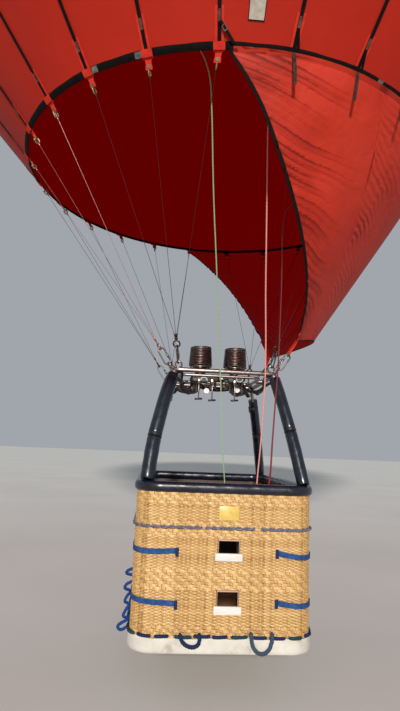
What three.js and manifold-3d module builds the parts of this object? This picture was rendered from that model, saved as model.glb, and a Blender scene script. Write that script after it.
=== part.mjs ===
// A hot air balloon at full size: a 24-gore envelope with a wind scoop, a gimballed twin burner and a woven basket.
// Millimetres, +Z up, +X to the right and +Y away from the end of the basket that has the plate.
// The origin is the centre of the envelope's lift. Heights are given from the basket's underside.

import * as THREE from 'three';
import { mergeVertices } from 'three/addons/utils/BufferGeometryUtils.js';
import Module from 'manifold-3d';

const wasm = await Module();
wasm.setup();

const SEAT_GAP = 0.3;

// Basket: the woven wall's outline, and what stands on it
const WALL_WIDTH = 1310;
const WALL_DEPTH = 1850;
const WALL_CORNER = 185;
const WALL_THICK = 34;
const RUNNER_HEIGHT = 26;
const FLOOR_THICK = 18;
const RIM_BOTTOM = 1080;
const RIM_TOP = 1160;
const RIM_OVERHANG = 20;
const RIM_WIDTH = 92;
const SKIRT_BOTTOM = 4;
const SKIRT_TOP = 106;
const SKIRT_THICK = 7;

// Burner frame, gimbal and burners
const FRAME_HEIGHT = 2030;
const FRAME_HALF_X = 430;
const FRAME_HALF_Y = 545;
const FRAME_TUBE = 19;
const FRAME_CORNER = 70;
const GIMBAL_HALF_X = 350;
const GIMBAL_HALF_Y = 250;
const GIMBAL_TUBE = 13;
const PIN_RADIUS = 8;
const PIN_HOLE_RADIUS = 8.52;
const BOSS_RADIUS = 18;
const BURNER_X = 160;
const CAN_BOTTOM = 2142;
const CAN_HEIGHT = 185;
const CAN_RADIUS = 110;

// Envelope
const GORES = 24;
const TAPE_PHASE = 0.142;
const MOUTH_HEIGHT = 3983;
const MOUTH_RADIUS = 1868;
const CONE_ANGLE = THREE.MathUtils.degToRad(41);
const EQUATOR_RADIUS = 8800;
const CROWN_RISE = 7000;
const CLOTH = 10;
const VENT_RADIUS = 2350;
const VALVE_RADIUS = 2680;
const HEM_DEPTH = 45;
const HEM_THICK = 20;

// The cone under the round part meets a circle about the equator's centre, so both follow from the mouth
const CONE_TOP_RADIUS = EQUATOR_RADIUS * Math.cos(CONE_ANGLE);
const CONE_RISE = (CONE_TOP_RADIUS - MOUTH_RADIUS) / Math.tan(CONE_ANGLE);
const EQUATOR_HEIGHT = Math.round(MOUTH_HEIGHT + CONE_RISE + EQUATOR_RADIUS * Math.sin(CONE_ANGLE));
const LIFT_HEIGHT = EQUATOR_HEIGHT;

const GORE_ANGLE = (2 * Math.PI) / GORES;

const paint = (color, roughness, metalness = 0) => new THREE.MeshStandardMaterial({ color, roughness, metalness });
const MATERIALS = {
  envelopeCloth: paint('#b03022', 0.6),
  scoopCloth: paint('#c23a2a', 0.6),
  blackTape: paint('#17171b', 0.7),
  stainless: paint('#b9bcc0', 0.3, 1),
  coil: paint('#4b4a4a', 0.45, 1),
  brass: paint('#a88746', 0.4, 1),
  hose: paint('#16161a', 0.6),
  sleeve: paint('#1b1d29', 0.55),
  rimLeather: paint('#171a2a', 0.35),
  hide: paint('#cfc8b8', 0.8),
  wicker: paint('#a7824e', 0.75),
  plywood: paint('#9c7c50', 0.7),
  cylinder: paint('#c5c8cb', 0.4, 1),
  plate: paint('#d9b400', 0.5),
};

const balloon = new THREE.Group();
balloon.name = 'hot_air_balloon';
balloon.position.z = -LIFT_HEIGHT;

// Closed bodies: a geometry becomes a solid, solids are joined and cut, and each is drawn as one named mesh

function solidOf(geometry) {
  const plain = geometry.index ? geometry.toNonIndexed() : geometry.clone();
  for (const name of Object.keys(plain.attributes)) {
    if (name !== 'position') plain.deleteAttribute(name);
  }
  const merged = mergeVertices(plain, 1e-3);
  const corners = merged.index.array;
  const kept = [];
  for (let i = 0; i < corners.length; i += 3) {
    const [a, b, c] = [corners[i], corners[i + 1], corners[i + 2]];
    if (a !== b && b !== c && c !== a) kept.push(a, b, c);
  }
  const vertProperties = new Float32Array(merged.attributes.position.array);
  if (signedVolume(vertProperties, kept) < 0) kept.reverse();
  return new wasm.Manifold(new wasm.Mesh({ numProp: 3, vertProperties, triVerts: new Uint32Array(kept) }));
}

function signedVolume(points, corners) {
  const at = (i) => new THREE.Vector3(points[3 * i], points[3 * i + 1], points[3 * i + 2]);
  let sum = 0;
  for (let i = 0; i < corners.length; i += 3) {
    sum += at(corners[i]).dot(at(corners[i + 1]).cross(at(corners[i + 2])));
  }
  return sum / 6;
}

function geometryOf(solid) {
  const mesh = solid.getMesh();
  const geometry = new THREE.BufferGeometry();
  geometry.setAttribute('position', new THREE.BufferAttribute(mesh.vertProperties, 3));
  geometry.setIndex(new THREE.BufferAttribute(mesh.triVerts, 1));
  return geometry;
}

function join(...solids) {
  return solids.reduce((whole, next) => whole.add(next));
}

function show(name, solid, material) {
  const mesh = new THREE.Mesh(geometryOf(solid), material);
  mesh.name = name;
  balloon.add(mesh);
}

// Simple shapes

const at = (x, y, z) => new THREE.Vector3(x, y, z);

function boxAt(x, y, z, width, depth, height) {
  return solidOf(new THREE.BoxGeometry(width, depth, height).translate(x, y, z));
}

function along(geometry, from, to) {
  const turn = new THREE.Quaternion().setFromUnitVectors(at(0, 1, 0), to.clone().sub(from).normalize());
  return geometry.applyQuaternion(turn).translate(from.x, from.y, from.z);
}

function rod(from, to, radius, sides = 10) {
  const length = from.distanceTo(to);
  return solidOf(along(new THREE.CylinderGeometry(radius, radius, length, sides).translate(0, length / 2, 0), from, to));
}

// A turned shape about a line: rows of [radius, distance from its start]
function turned(rows, from, to, sides = 16) {
  const profile = rows.map(([radius, distance]) => new THREE.Vector2(radius, distance));
  return solidOf(along(new THREE.LatheGeometry(profile, sides), from, to));
}

// A round tube bent into a closed loop of straight sides and round corners, flat in the XY plane
function tubeLoop(halfX, halfY, corner, tube, sides = 8, cornerSteps = 4) {
  const halfStep = Math.PI / (4 * cornerSteps);
  const loop = new THREE.TorusGeometry(corner / Math.cos(halfStep), tube, sides, 4 * cornerSteps);
  loop.rotateZ(halfStep);
  const points = loop.attributes.position;
  for (let i = 0; i < points.count; i += 1) {
    points.setX(i, points.getX(i) + Math.sign(points.getX(i)) * (halfX - corner));
    points.setY(i, points.getY(i) + Math.sign(points.getY(i)) * (halfY - corner));
  }
  return loop;
}

function roundedPlan(halfX, halfY, corner, Kind = THREE.Shape) {
  const plan = new Kind();
  const [x, y] = [halfX - corner, halfY - corner];
  plan.absarc(x, y, corner, 0, Math.PI / 2);
  plan.absarc(-x, y, corner, Math.PI / 2, Math.PI);
  plan.absarc(-x, -y, corner, Math.PI, 1.5 * Math.PI);
  plan.absarc(x, -y, corner, 1.5 * Math.PI, 2 * Math.PI);
  plan.closePath();
  return plan;
}

// A band that follows the basket's outline: outset and inset are measured from the wall's outer face
function basketBand(outset, inset, bottom, top, bevel = 0) {
  const grown = (by, Kind) => roundedPlan(WALL_WIDTH / 2 + by, WALL_DEPTH / 2 + by, WALL_CORNER + by, Kind);
  const plan = grown(outset - bevel, THREE.Shape);
  plan.holes.push(grown(-inset + bevel, THREE.Path));
  const band = new THREE.ExtrudeGeometry(plan, {
    depth: top - bottom - 2 * bevel,
    curveSegments: 4,
    bevelEnabled: bevel > 0,
    bevelSize: bevel,
    bevelThickness: bevel,
    bevelSegments: 2,
  });
  return solidOf(band.translate(0, 0, bottom + bevel));
}

// Envelope: the outer profile, up from the mouth along a cone, a circle to the equator and an ellipse to the crown

function profilePoint(step, coneSteps, circleSteps, crownSteps) {
  if (step <= coneSteps) {
    const run = (step / coneSteps) * CONE_RISE;
    return [MOUTH_RADIUS + run * Math.tan(CONE_ANGLE), MOUTH_HEIGHT + run];
  }
  if (step <= coneSteps + circleSteps) {
    const angle = CONE_ANGLE * (1 - (step - coneSteps) / circleSteps);
    return [EQUATOR_RADIUS * Math.cos(angle), EQUATOR_HEIGHT - EQUATOR_RADIUS * Math.sin(angle)];
  }
  const ventAngle = Math.acos(VENT_RADIUS / EQUATOR_RADIUS);
  const angle = (ventAngle * (step - coneSteps - circleSteps)) / crownSteps;
  return [EQUATOR_RADIUS * Math.cos(angle), EQUATOR_HEIGHT + CROWN_RISE * Math.sin(angle)];
}

function crownHeight(radius) {
  return EQUATOR_HEIGHT + CROWN_RISE * Math.sqrt(1 - (radius / EQUATOR_RADIUS) ** 2);
}

// A wall of cloth turned about the axis, with a flat facet for each gore
function gored(rows) {
  const profile = rows.map(([radius, height]) => new THREE.Vector2(radius, height));
  return solidOf(new THREE.LatheGeometry(profile, GORES, -TAPE_PHASE).rotateX(Math.PI / 2));
}

function inward([radius, height], before, after, thick) {
  const run = new THREE.Vector2(after[0] - before[0], after[1] - before[1]).normalize();
  return [radius - run.y * thick, height + run.x * thick];
}

const CONE_STEPS = 2;
const CIRCLE_STEPS = 4;
const CROWN_STEPS = 7;
const outerRows = [];
for (let step = 0; step <= CONE_STEPS + CIRCLE_STEPS + CROWN_STEPS; step += 1) {
  outerRows.push(profilePoint(step, CONE_STEPS, CIRCLE_STEPS, CROWN_STEPS));
}
const innerRows = outerRows.map((row, i) => {
  const before = outerRows[Math.max(i - 1, 0)];
  const after = outerRows[Math.min(i + 1, outerRows.length - 1)];
  return inward(row, before, after, CLOTH);
});
const closedRows = (outer, inner) => [...outer, ...inner.slice().reverse(), outer[0]];
const envelope = gored(closedRows(outerRows, innerRows));

const GORE_PAIRS = GORES / 2;
for (let pair = 0; pair < GORE_PAIRS; pair += 1) {
  const start = -Math.PI / 2 - TAPE_PHASE + 2 * pair * GORE_ANGLE;
  const middle = start + GORE_ANGLE;
  const apex = SEAT_GAP / 2 / Math.sin(GORE_ANGLE);
  const reach = 2 * EQUATOR_RADIUS;
  const wedge = new THREE.Shape();
  wedge.moveTo(apex * Math.cos(middle), apex * Math.sin(middle));
  wedge.lineTo(apex * Math.cos(middle) + reach * Math.cos(start), apex * Math.sin(middle) + reach * Math.sin(start));
  const end = start + 2 * GORE_ANGLE;
  wedge.lineTo(apex * Math.cos(middle) + reach * Math.cos(end), apex * Math.sin(middle) + reach * Math.sin(end));
  const tall = new THREE.ExtrudeGeometry(wedge, { depth: 3 * EQUATOR_RADIUS, bevelEnabled: false });
  const number = String(pair + 1).padStart(2, '0');
  show(`gore_pair_${number}`, envelope.intersect(solidOf(tall)), MATERIALS.envelopeCloth);
}

// Mouth hem: goes on down the cone from the gores' lower edge

const coneDown = new THREE.Vector2(-Math.sin(CONE_ANGLE), -Math.cos(CONE_ANGLE));
const coneOut = new THREE.Vector2(Math.cos(CONE_ANGLE), -Math.sin(CONE_ANGLE));
const onCone = (down, out) => [
  MOUTH_RADIUS + coneDown.x * down + coneOut.x * out,
  MOUTH_HEIGHT + coneDown.y * down + coneOut.y * out,
];
function hemBand(slack) {
  const out = (HEM_THICK - CLOTH) / 2 + slack;
  const inner = -(HEM_THICK + CLOTH) / 2 - slack;
  const [top, bottom] = [SEAT_GAP - slack, HEM_DEPTH + slack];
  return gored([onCone(top, out), onCone(top, inner), onCone(bottom, inner), onCone(bottom, out), onCone(top, out)]);
}
show('mouth_hem', hemBand(0), MATERIALS.blackTape);

// Crown: the parachute valve lies against the gores' top edge, and load tapes cross the opening to the crown ring

const CROWN_RING_RADIUS = 215;
const CROWN_RING_WIDTH = 32;
const CROWN_TAPE_WIDTH = 44;
const CROWN_TAPE_THICK = 7;
const VALVE_DROP = 0.5;
const VALVE_CENTRE_RISE = 100;
const [ventEdge, ventBefore] = [innerRows[innerRows.length - 1], innerRows[innerRows.length - 2]];
const underGores = (radius) => {
  const share = (radius - ventEdge[0]) / (ventBefore[0] - ventEdge[0]);
  return ventEdge[1] + share * (ventBefore[1] - ventEdge[1]) - VALVE_DROP;
};
const valveTop = [
  [0, underGores(VENT_RADIUS) + VALVE_CENTRE_RISE],
  [VENT_RADIUS, underGores(VENT_RADIUS)],
  [VALVE_RADIUS, underGores(VALVE_RADIUS)],
];
const valveUnder = valveTop.map(([radius, height]) => [radius, height - CLOTH]).reverse();
show('parachute_valve', gored([...valveTop, ...valveUnder]), MATERIALS.envelopeCloth);

const ringTop = crownHeight(0) + 10;
const ringRows = [
  [CROWN_RING_RADIUS - CROWN_RING_WIDTH, ringTop - CROWN_RING_WIDTH],
  [CROWN_RING_RADIUS, ringTop - CROWN_RING_WIDTH],
  [CROWN_RING_RADIUS, ringTop],
  [CROWN_RING_RADIUS - CROWN_RING_WIDTH, ringTop],
  [CROWN_RING_RADIUS - CROWN_RING_WIDTH, ringTop - CROWN_RING_WIDTH],
];
let crown = gored(ringRows);
const tapeStart = at(CROWN_RING_RADIUS - CROWN_RING_WIDTH / 2, 0, ringTop - 0.6 * CROWN_RING_WIDTH);
const tapeEnd = at(VENT_RADIUS + 20, 0, crownHeight(VENT_RADIUS) - CROWN_TAPE_THICK / 2 - 2);
for (let tape = 0; tape < GORES; tape += 1) {
  const length = tapeStart.distanceTo(tapeEnd);
  const slope = Math.atan2(tapeStart.z - tapeEnd.z, tapeEnd.x - tapeStart.x);
  const strip = new THREE.BoxGeometry(length, CROWN_TAPE_WIDTH, CROWN_TAPE_THICK).translate(length / 2, 0, 0);
  strip.rotateY(slope).translate(tapeStart.x, tapeStart.y, tapeStart.z);
  strip.rotateZ(-Math.PI / 2 - TAPE_PHASE + tape * GORE_ANGLE);
  crown = crown.add(solidOf(strip));
}
// The tapes end square against the gores' top edge
const edge = outerRows[outerRows.length - 1];
const edgeRun = new THREE.Vector2(edge[0] - outerRows[outerRows.length - 2][0],
  edge[1] - outerRows[outerRows.length - 2][1]).normalize();
const fromEdge = (onward, down) => [
  edge[0] + edgeRun.x * onward - edgeRun.y * down,
  edge[1] + edgeRun.y * onward + edgeRun.x * down,
];
const past = gored([
  fromEdge(SEAT_GAP, -60), fromEdge(SEAT_GAP, 60), fromEdge(-200, 60), fromEdge(-200, -60), fromEdge(SEAT_GAP, -60),
]);
show('crown_ring', crown.subtract(past), MATERIALS.blackTape);

// Burner frame: a closed loop of tube with a socket and an eye at each corner, and bosses for the gimbal's pins

const CORNERS = [
  // name, side in X, side in Y, first of its six load tapes
  ['near_left', -1, -1, 0],
  ['far_left', -1, 1, 6],
  ['far_right', 1, 1, 12],
  ['near_right', 1, -1, 18],
];
const RIM_FOOT_INSET = WALL_CORNER - (WALL_CORNER - RIM_WIDTH / 2 + RIM_OVERHANG) * Math.SQRT1_2;
const SOCKET_LENGTH = 44;
const BARE_ROD = 34;
const SOCKET_RADIUS = 24;
const EYE_RADIUS = 27;
const EYE_TUBE = 7;
const LINK_RADIUS = 27;
const LINK_TUBE = 6;
const LINK_LENGTH = 150;
const TAPES_PER_CHAIN = GORES / 8;
const CHAINS = [
  // number, turn of its eye round the frame's corner in degrees, first of its three load tapes
  [1, -32, 0],
  [2, 32, TAPES_PER_CHAIN],
];
const WIRE_RADIUS = 4;
const TAB = { length: 190, width: 46, thick: 6 };

const frameCorner = (sideX, sideY) => {
  const inset = FRAME_CORNER * (1 - Math.SQRT1_2);
  return at(sideX * (FRAME_HALF_X - inset), sideY * (FRAME_HALF_Y - inset), FRAME_HEIGHT);
};
const rimFoot = (sideX, sideY) => at(
  sideX * (WALL_WIDTH / 2 - RIM_FOOT_INSET),
  sideY * (WALL_DEPTH / 2 - RIM_FOOT_INSET),
  RIM_TOP,
);
// The load tape's end on the hem's lower edge
function tapeFoot(tape) {
  const angle = TAPE_PHASE + tape * GORE_ANGLE;
  const [radius, height] = onCone(HEM_DEPTH - 12, -CLOTH / 2);
  return at(-radius * Math.sin(angle), -radius * Math.cos(angle), height);
}

// Turns a flat loop so that its long side lies along the pull and its face looks across
function hungLoop(geometry, centre, pull, across) {
  const side = across.clone().sub(pull.clone().multiplyScalar(across.dot(pull))).normalize();
  const basis = new THREE.Matrix4().makeBasis(side, pull, side.clone().cross(pull));
  return geometry.applyMatrix4(basis.setPosition(centre));
}

let frame = solidOf(tubeLoop(FRAME_HALF_X, FRAME_HALF_Y, FRAME_CORNER, FRAME_TUBE, 10, 3).translate(0, 0, FRAME_HEIGHT));
const hemCut = hemBand(SEAT_GAP);
for (const [name, sideX, sideY, firstTape] of CORNERS) {
  const corner = frameCorner(sideX, sideY);
  const foot = rimFoot(sideX, sideY);
  const lean = corner.clone().sub(foot).normalize();
  const socketEnd = corner.clone().addScaledVector(lean, -SOCKET_LENGTH);
  frame = frame.add(rod(socketEnd, corner, SOCKET_RADIUS, 14));

  // Two chains, each of an eye on the frame, a karabiner and a master link that holds three wires
  for (const [number, turn, firstOfThree] of CHAINS) {
    const azimuth = (firstTape + TAPES_PER_CHAIN) * GORE_ANGLE + THREE.MathUtils.degToRad(turn);
    const outwardSide = at(-Math.sin(azimuth), -Math.cos(azimuth), 0);
    const acrossSide = at(-outwardSide.y, outwardSide.x, 0);
    const anchor = at(sideX * (FRAME_HALF_X - FRAME_CORNER), sideY * (FRAME_HALF_Y - FRAME_CORNER), FRAME_HEIGHT)
      .addScaledVector(outwardSide, FRAME_CORNER);
    const tapes = [];
    for (let i = 0; i < TAPES_PER_CHAIN; i += 1) tapes.push(tapeFoot(firstTape + firstOfThree + i));
    const middle = tapes.reduce((sum, tape) => sum.add(tape), at(0, 0, 0)).divideScalar(tapes.length);
    const pull = middle.clone().sub(anchor).normalize();
    const eyeCentre = anchor.clone().addScaledVector(pull, FRAME_TUBE + EYE_RADIUS - 2);
    frame = frame.add(solidOf(hungLoop(
      tubeLoop(EYE_RADIUS, EYE_RADIUS, EYE_RADIUS, EYE_TUBE, 6, 3), eyeCentre, pull, acrossSide)));

    // Each loop hangs in the next one, inside its end
    const touch = EYE_TUBE + LINK_TUBE + SEAT_GAP;
    const linkLow = eyeCentre.clone().addScaledVector(pull, EYE_RADIUS - touch);
    const linkCentre = linkLow.clone().addScaledVector(pull, LINK_LENGTH / 2);
    show(`karabiner_${name}_${number}`, solidOf(hungLoop(
      tubeLoop(LINK_RADIUS, LINK_LENGTH / 2, LINK_RADIUS, LINK_TUBE, 6, 3), linkCentre, pull, outwardSide)),
    MATERIALS.stainless);

    const masterCentre = linkLow.clone()
      .addScaledVector(pull, LINK_LENGTH - 2 * LINK_TUBE - SEAT_GAP + LINK_RADIUS);
    let fan = solidOf(hungLoop(
      tubeLoop(LINK_RADIUS, LINK_RADIUS, LINK_RADIUS, LINK_TUBE, 6, 3), masterCentre, pull, acrossSide));
    const fanStart = masterCentre.clone().addScaledVector(pull, LINK_RADIUS);
    for (const tape of tapes) {
      const run = fanStart.clone().sub(tape).normalize();
      const tabEnd = tape.clone().addScaledVector(run, TAB.length);
      const tab = new THREE.BoxGeometry(TAB.width, TAB.length, TAB.thick).translate(0, TAB.length / 2, 0);
      const across = at(-tape.y, tape.x, 0).normalize();
      fan = fan.add(solidOf(hungLoop(tab, tape, run, across)));
      fan = fan.add(rod(fanStart, tabEnd.addScaledVector(run, -20), WIRE_RADIUS, 4));
    }
    show(`flying_wires_${name}_${number}`, fan.subtract(hemCut), MATERIALS.stainless);
  }

  // Upright: two lengths of padded sleeve on a rod, standing on the rim and ending under the socket
  const length = foot.distanceTo(socketEnd) - SEAT_GAP;
  const sleeve = [
    [0, -60], [46, -60], [47, 40], [47, 430], [39, 446], [39, 460], [46, 476],
    [46, length - BARE_ROD - 8], [44, length - BARE_ROD], [16, length - BARE_ROD], [16, length], [0, length],
  ];
  const upright = turned(sleeve, foot, socketEnd);
  const below = boxAt(foot.x, foot.y, RIM_TOP - 200 + SEAT_GAP, 400, 400, 400);
  show(`upright_${name}`, upright.subtract(below), MATERIALS.sleeve);
}

for (const side of [-1, 1]) {
  const bossIn = at(side * (GIMBAL_HALF_X + GIMBAL_TUBE + 10), 0, FRAME_HEIGHT);
  const bossOut = at(side * FRAME_HALF_X, 0, FRAME_HEIGHT);
  frame = frame.add(rod(bossIn, bossOut, BOSS_RADIUS, 14));
  frame = frame.subtract(rod(bossIn.clone().setX(side * GIMBAL_HALF_X), at(side * (FRAME_HALF_X - 8), 0, FRAME_HEIGHT),
    PIN_HOLE_RADIUS, 14));
}
show('burner_frame', frame, MATERIALS.stainless);

// Gimbal frame: tilts about X in the burner frame, and carries the burners about Y

let gimbal = solidOf(tubeLoop(GIMBAL_HALF_X, GIMBAL_HALF_Y, 60, GIMBAL_TUBE, 10, 3).translate(0, 0, FRAME_HEIGHT));
for (const side of [-1, 1]) {
  gimbal = gimbal.add(rod(at(side * GIMBAL_HALF_X, 0, FRAME_HEIGHT), at(side * (FRAME_HALF_X - 12), 0, FRAME_HEIGHT),
    PIN_RADIUS, 12));
  gimbal = gimbal.add(rod(at(0, side * (GIMBAL_HALF_Y - 36), FRAME_HEIGHT), at(0, side * GIMBAL_HALF_Y, FRAME_HEIGHT),
    BOSS_RADIUS, 14));
  gimbal = gimbal.subtract(rod(at(0, side * (GIMBAL_HALF_Y - 60), FRAME_HEIGHT),
    at(0, side * (GIMBAL_HALF_Y - 6), FRAME_HEIGHT), PIN_HOLE_RADIUS, 14));
}
show('gimbal_frame', gimbal, MATERIALS.stainless);

// Burner carrier: two cross tubes under the valve blocks, with pins in the gimbal frame

const BAR_Y = 92;
const BAR_HALF = 240;
const BAR_TUBE = 11;
let carrier = rod(at(0, -(GIMBAL_HALF_Y - 12), FRAME_HEIGHT), at(0, -BAR_Y, FRAME_HEIGHT), PIN_RADIUS, 12);
carrier = carrier.add(rod(at(0, BAR_Y, FRAME_HEIGHT), at(0, GIMBAL_HALF_Y - 12, FRAME_HEIGHT), PIN_RADIUS, 12));
carrier = carrier.add(solidOf(
  tubeLoop(BAR_HALF, BAR_Y, 20, BAR_TUBE, 10, 3).translate(0, 0, FRAME_HEIGHT)));
show('burner_carrier', carrier, MATERIALS.stainless);

// Burners: a valve block on the carrier's bars, and a can of coiled tube over it, open at the top

const COIL_TURNS = 12;
const CAN_SIDES = 16;
const INLET_HEIGHT = 1996;
const BLOCK = { width: 112, depth: 2 * (BAR_Y - BAR_TUBE - SEAT_GAP), bottom: 1990, top: 2062 };
for (const [name, side] of [['left', -1], ['right', 1]]) {
  const x = side * BURNER_X;
  const base = at(x, 0, CAN_BOTTOM);
  const rows = [[0, 0], [CAN_RADIUS - 24, 0]];
  const pitch = CAN_HEIGHT / COIL_TURNS;
  for (let turn = 0; turn < COIL_TURNS; turn += 1) {
    const radius = CAN_RADIUS - (6 * turn) / COIL_TURNS;
    rows.push([radius - 6, turn * pitch], [radius, (turn + 0.5) * pitch]);
  }
  rows.push([CAN_RADIUS - 18, CAN_HEIGHT], [CAN_RADIUS - 22, CAN_HEIGHT], [CAN_RADIUS - 22, 12], [0, 12]);
  show(`burner_can_${name}`, turned(rows, base, at(x, 0, CAN_BOTTOM + 100), CAN_SIDES), MATERIALS.coil);

  let block = boxAt(x, 0, (BLOCK.bottom + BLOCK.top) / 2, BLOCK.width, BLOCK.depth,
    BLOCK.top - BLOCK.bottom);
  block = join(
    block,
    rod(at(x, 0, BLOCK.top - 10), at(x, 0, CAN_BOTTOM - SEAT_GAP), 46, 16),
    rod(at(x, 0, BLOCK.bottom - 30), at(x, 0, BLOCK.bottom + 10), 30, 14),
    rod(at(x + side * 40, 0, INLET_HEIGHT), at(x + side * 88, 0, INLET_HEIGHT), 13, 10),
    rod(at(x - side * 20, -40, 1995), at(x - side * 20, -40, 1935), 8, 8),
    rod(at(x - side * 20, -30, 1928), at(x - side * 20, -50, 1928), 26, 16),
    rod(at(x + side * 26, -BAR_Y - 10, 1985), at(x + side * 26, -BAR_Y - 10, 1850), 9, 8),
    rod(at(x + side * 26, -BAR_Y - 14, 1985), at(x + side * 26, -40, 1998), 8, 8),
  );
  show(`valve_block_${name}`, block, MATERIALS.brass);

  // Fuel hose: out of the near upright's sleeve, in a low loop to the valve block's inlet
  const corner = frameCorner(side, -1);
  const foot = rimFoot(side, -1);
  const lean = corner.clone().sub(foot).normalize();
  const inwardSide = at(-side, 0.4, 0);
  inwardSide.addScaledVector(lean, -inwardSide.dot(lean)).normalize();
  const sleeveTop = corner.clone().addScaledVector(lean, -SOCKET_LENGTH - BARE_ROD);
  const start = sleeveTop.clone().addScaledVector(lean, -4).addScaledVector(inwardSide, 31);
  const route = new THREE.CatmullRomCurve3([
    start,
    start.clone().addScaledVector(lean, 18).addScaledVector(inwardSide, 2),
    start.clone().addScaledVector(lean, 24).addScaledVector(inwardSide, 40),
    at(side * 350, -400, 1930),
    at(side * 355, -300, 1908),
    at(side * 345, -180, 1900),
    at(side * 335, -60, 1925),
    at(side * 310, -8, INLET_HEIGHT - 20),
    at(side * 285, 0, INLET_HEIGHT - 1),
    at(side * 264, 0, INLET_HEIGHT),
  ]);
  const section = new THREE.Shape();
  section.absarc(0, 0, 11, 0, 2 * Math.PI);
  const hose = new THREE.ExtrudeGeometry(section, { steps: 20, curveSegments: 4, extrudePath: route });
  const sleeve = rod(sleeveTop.clone().addScaledVector(lean, -30), sleeveTop.clone().addScaledVector(lean, SEAT_GAP), 60);
  show(`fuel_hose_${name}`, solidOf(hose).subtract(sleeve), MATERIALS.hose);
}

// Basket floor: a board with three runners under it

let floor = solidOf(new THREE.ExtrudeGeometry(roundedPlan(WALL_WIDTH / 2 - 4, WALL_DEPTH / 2 - 4, WALL_CORNER - 4), {
  depth: FLOOR_THICK, curveSegments: 6, bevelEnabled: false,
}).translate(0, 0, RUNNER_HEIGHT));
for (const x of [-430, 0, 430]) {
  floor = floor.add(boxAt(x, 0, RUNNER_HEIGHT / 2 + 1, 60, WALL_DEPTH - 320, RUNNER_HEIGHT + 2));
}
show('basket_floor', floor, MATERIALS.plywood);

// Woven walls: one ring cut at the middle of its corners, with step holes and sills at both short ends

const WALL_BOTTOM = RUNNER_HEIGHT + FLOOR_THICK + SEAT_GAP;
const WALL_TOP = RIM_BOTTOM - SEAT_GAP;
const STEP_X = 26;
const STEPS = [
  // hole's bottom, hole's height, sill's height
  [672, 86, 54],
  [318, 96, 58],
];
const HOLE_WIDTH = 144;
const SILL_WIDTH = 198;
const SILL_OUT = 9;
const ring = basketBand(0, WALL_THICK, WALL_BOTTOM, WALL_TOP);

function wallQuarter(turnAxis, side) {
  const [x, y] = [WALL_WIDTH / 2 - WALL_CORNER, WALL_DEPTH / 2 - WALL_CORNER];
  const reach = 400;
  const gap = SEAT_GAP;
  const plan = new THREE.Shape();
  if (turnAxis === 'y') {
    plan.moveTo(-x + gap, side * y);
    plan.lineTo(-x - reach + gap, side * (y + reach));
    plan.lineTo(x + reach - gap, side * (y + reach));
    plan.lineTo(x - gap, side * y);
  } else {
    plan.moveTo(side * x, -y + gap);
    plan.lineTo(side * (x + reach), -y - reach + gap);
    plan.lineTo(side * (x + reach), y + reach - gap);
    plan.lineTo(side * x, y - gap);
  }
  plan.closePath();
  return ring.intersect(solidOf(new THREE.ExtrudeGeometry(plan, { depth: RIM_TOP, bevelEnabled: false })));
}

for (const [name, side] of [['near', -1], ['far', 1]]) {
  let wall = wallQuarter('y', side);
  const face = side * (WALL_DEPTH / 2);
  for (const [bottom, height, sill] of STEPS) {
    wall = wall.add(boxAt(STEP_X, face, bottom - sill / 2, SILL_WIDTH, 2 * SILL_OUT, sill));
    wall = wall.subtract(boxAt(STEP_X, face, bottom + height / 2, HOLE_WIDTH, 4 * WALL_THICK, height));
  }
  show(`wall_${name}`, wall, MATERIALS.wicker);
}
show('wall_left', wallQuarter('x', -1), MATERIALS.wicker);
show('wall_right', wallQuarter('x', 1), MATERIALS.wicker);

// Rim roll, hide skirt and the blank plate

show('rim_roll', basketBand(RIM_OVERHANG, RIM_WIDTH - RIM_OVERHANG, RIM_BOTTOM, RIM_TOP, 32), MATERIALS.rimLeather);
show('hide_skirt', basketBand(SKIRT_THICK + SEAT_GAP, -SEAT_GAP, SKIRT_BOTTOM, SKIRT_TOP), MATERIALS.hide);
show('plate', boxAt(19, -WALL_DEPTH / 2 - SEAT_GAP - 2, 948, 144, 4, 100), MATERIALS.plate);

// Fuel cylinders: one in each corner, on its foot ring

const CYLINDER_RADIUS = 143;
const CYLINDER_INSET = WALL_THICK + 4 + CYLINDER_RADIUS;
for (const [name, sideX, sideY] of CORNERS) {
  const x = sideX * (WALL_WIDTH / 2 - CYLINDER_INSET);
  const y = sideY * (WALL_DEPTH / 2 - CYLINDER_INSET);
  const z = RUNNER_HEIGHT + FLOOR_THICK + SEAT_GAP;
  const rows = [
    [0, 30], [104, 30], [104, 0], [112, 0], [112, 45], [CYLINDER_RADIUS, 85], [CYLINDER_RADIUS, 735], [112, 780],
    [60, 800], [104, 806], [104, 868], [96, 868], [96, 818], [26, 818], [26, 850], [0, 850],
  ];
  show(`fuel_cylinder_${name}`, turned(rows, at(x, y, z), at(x, y, z + 100), 16), MATERIALS.cylinder);
}

// Scoop: a sheet from the hem's right half down to the two right corners of the burner frame

const SCOOP_START = 0.3;
const SCOOP_GORES = 12.7;
const SCOOP_COLUMNS = 13;
const SCOOP_ROWS = 9;
const SCOOP_LAP = { from: 6, to: 62 };
const SCOOP_NEAR = { foot: at(567, -672, 2294), bulge: at(220, -91, -323) };
const SCOOP_FAR = { foot: at(670, 762, 2397), bulge: at(130, 191, 105) };
const SCOOP_FOOT_BOW = { out: 279, up: 83 };
const SCOOP_BELLY = 28;
const EDGE_SKEW = 0.89;
const BELLY_SKEW = 0.39;

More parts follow.
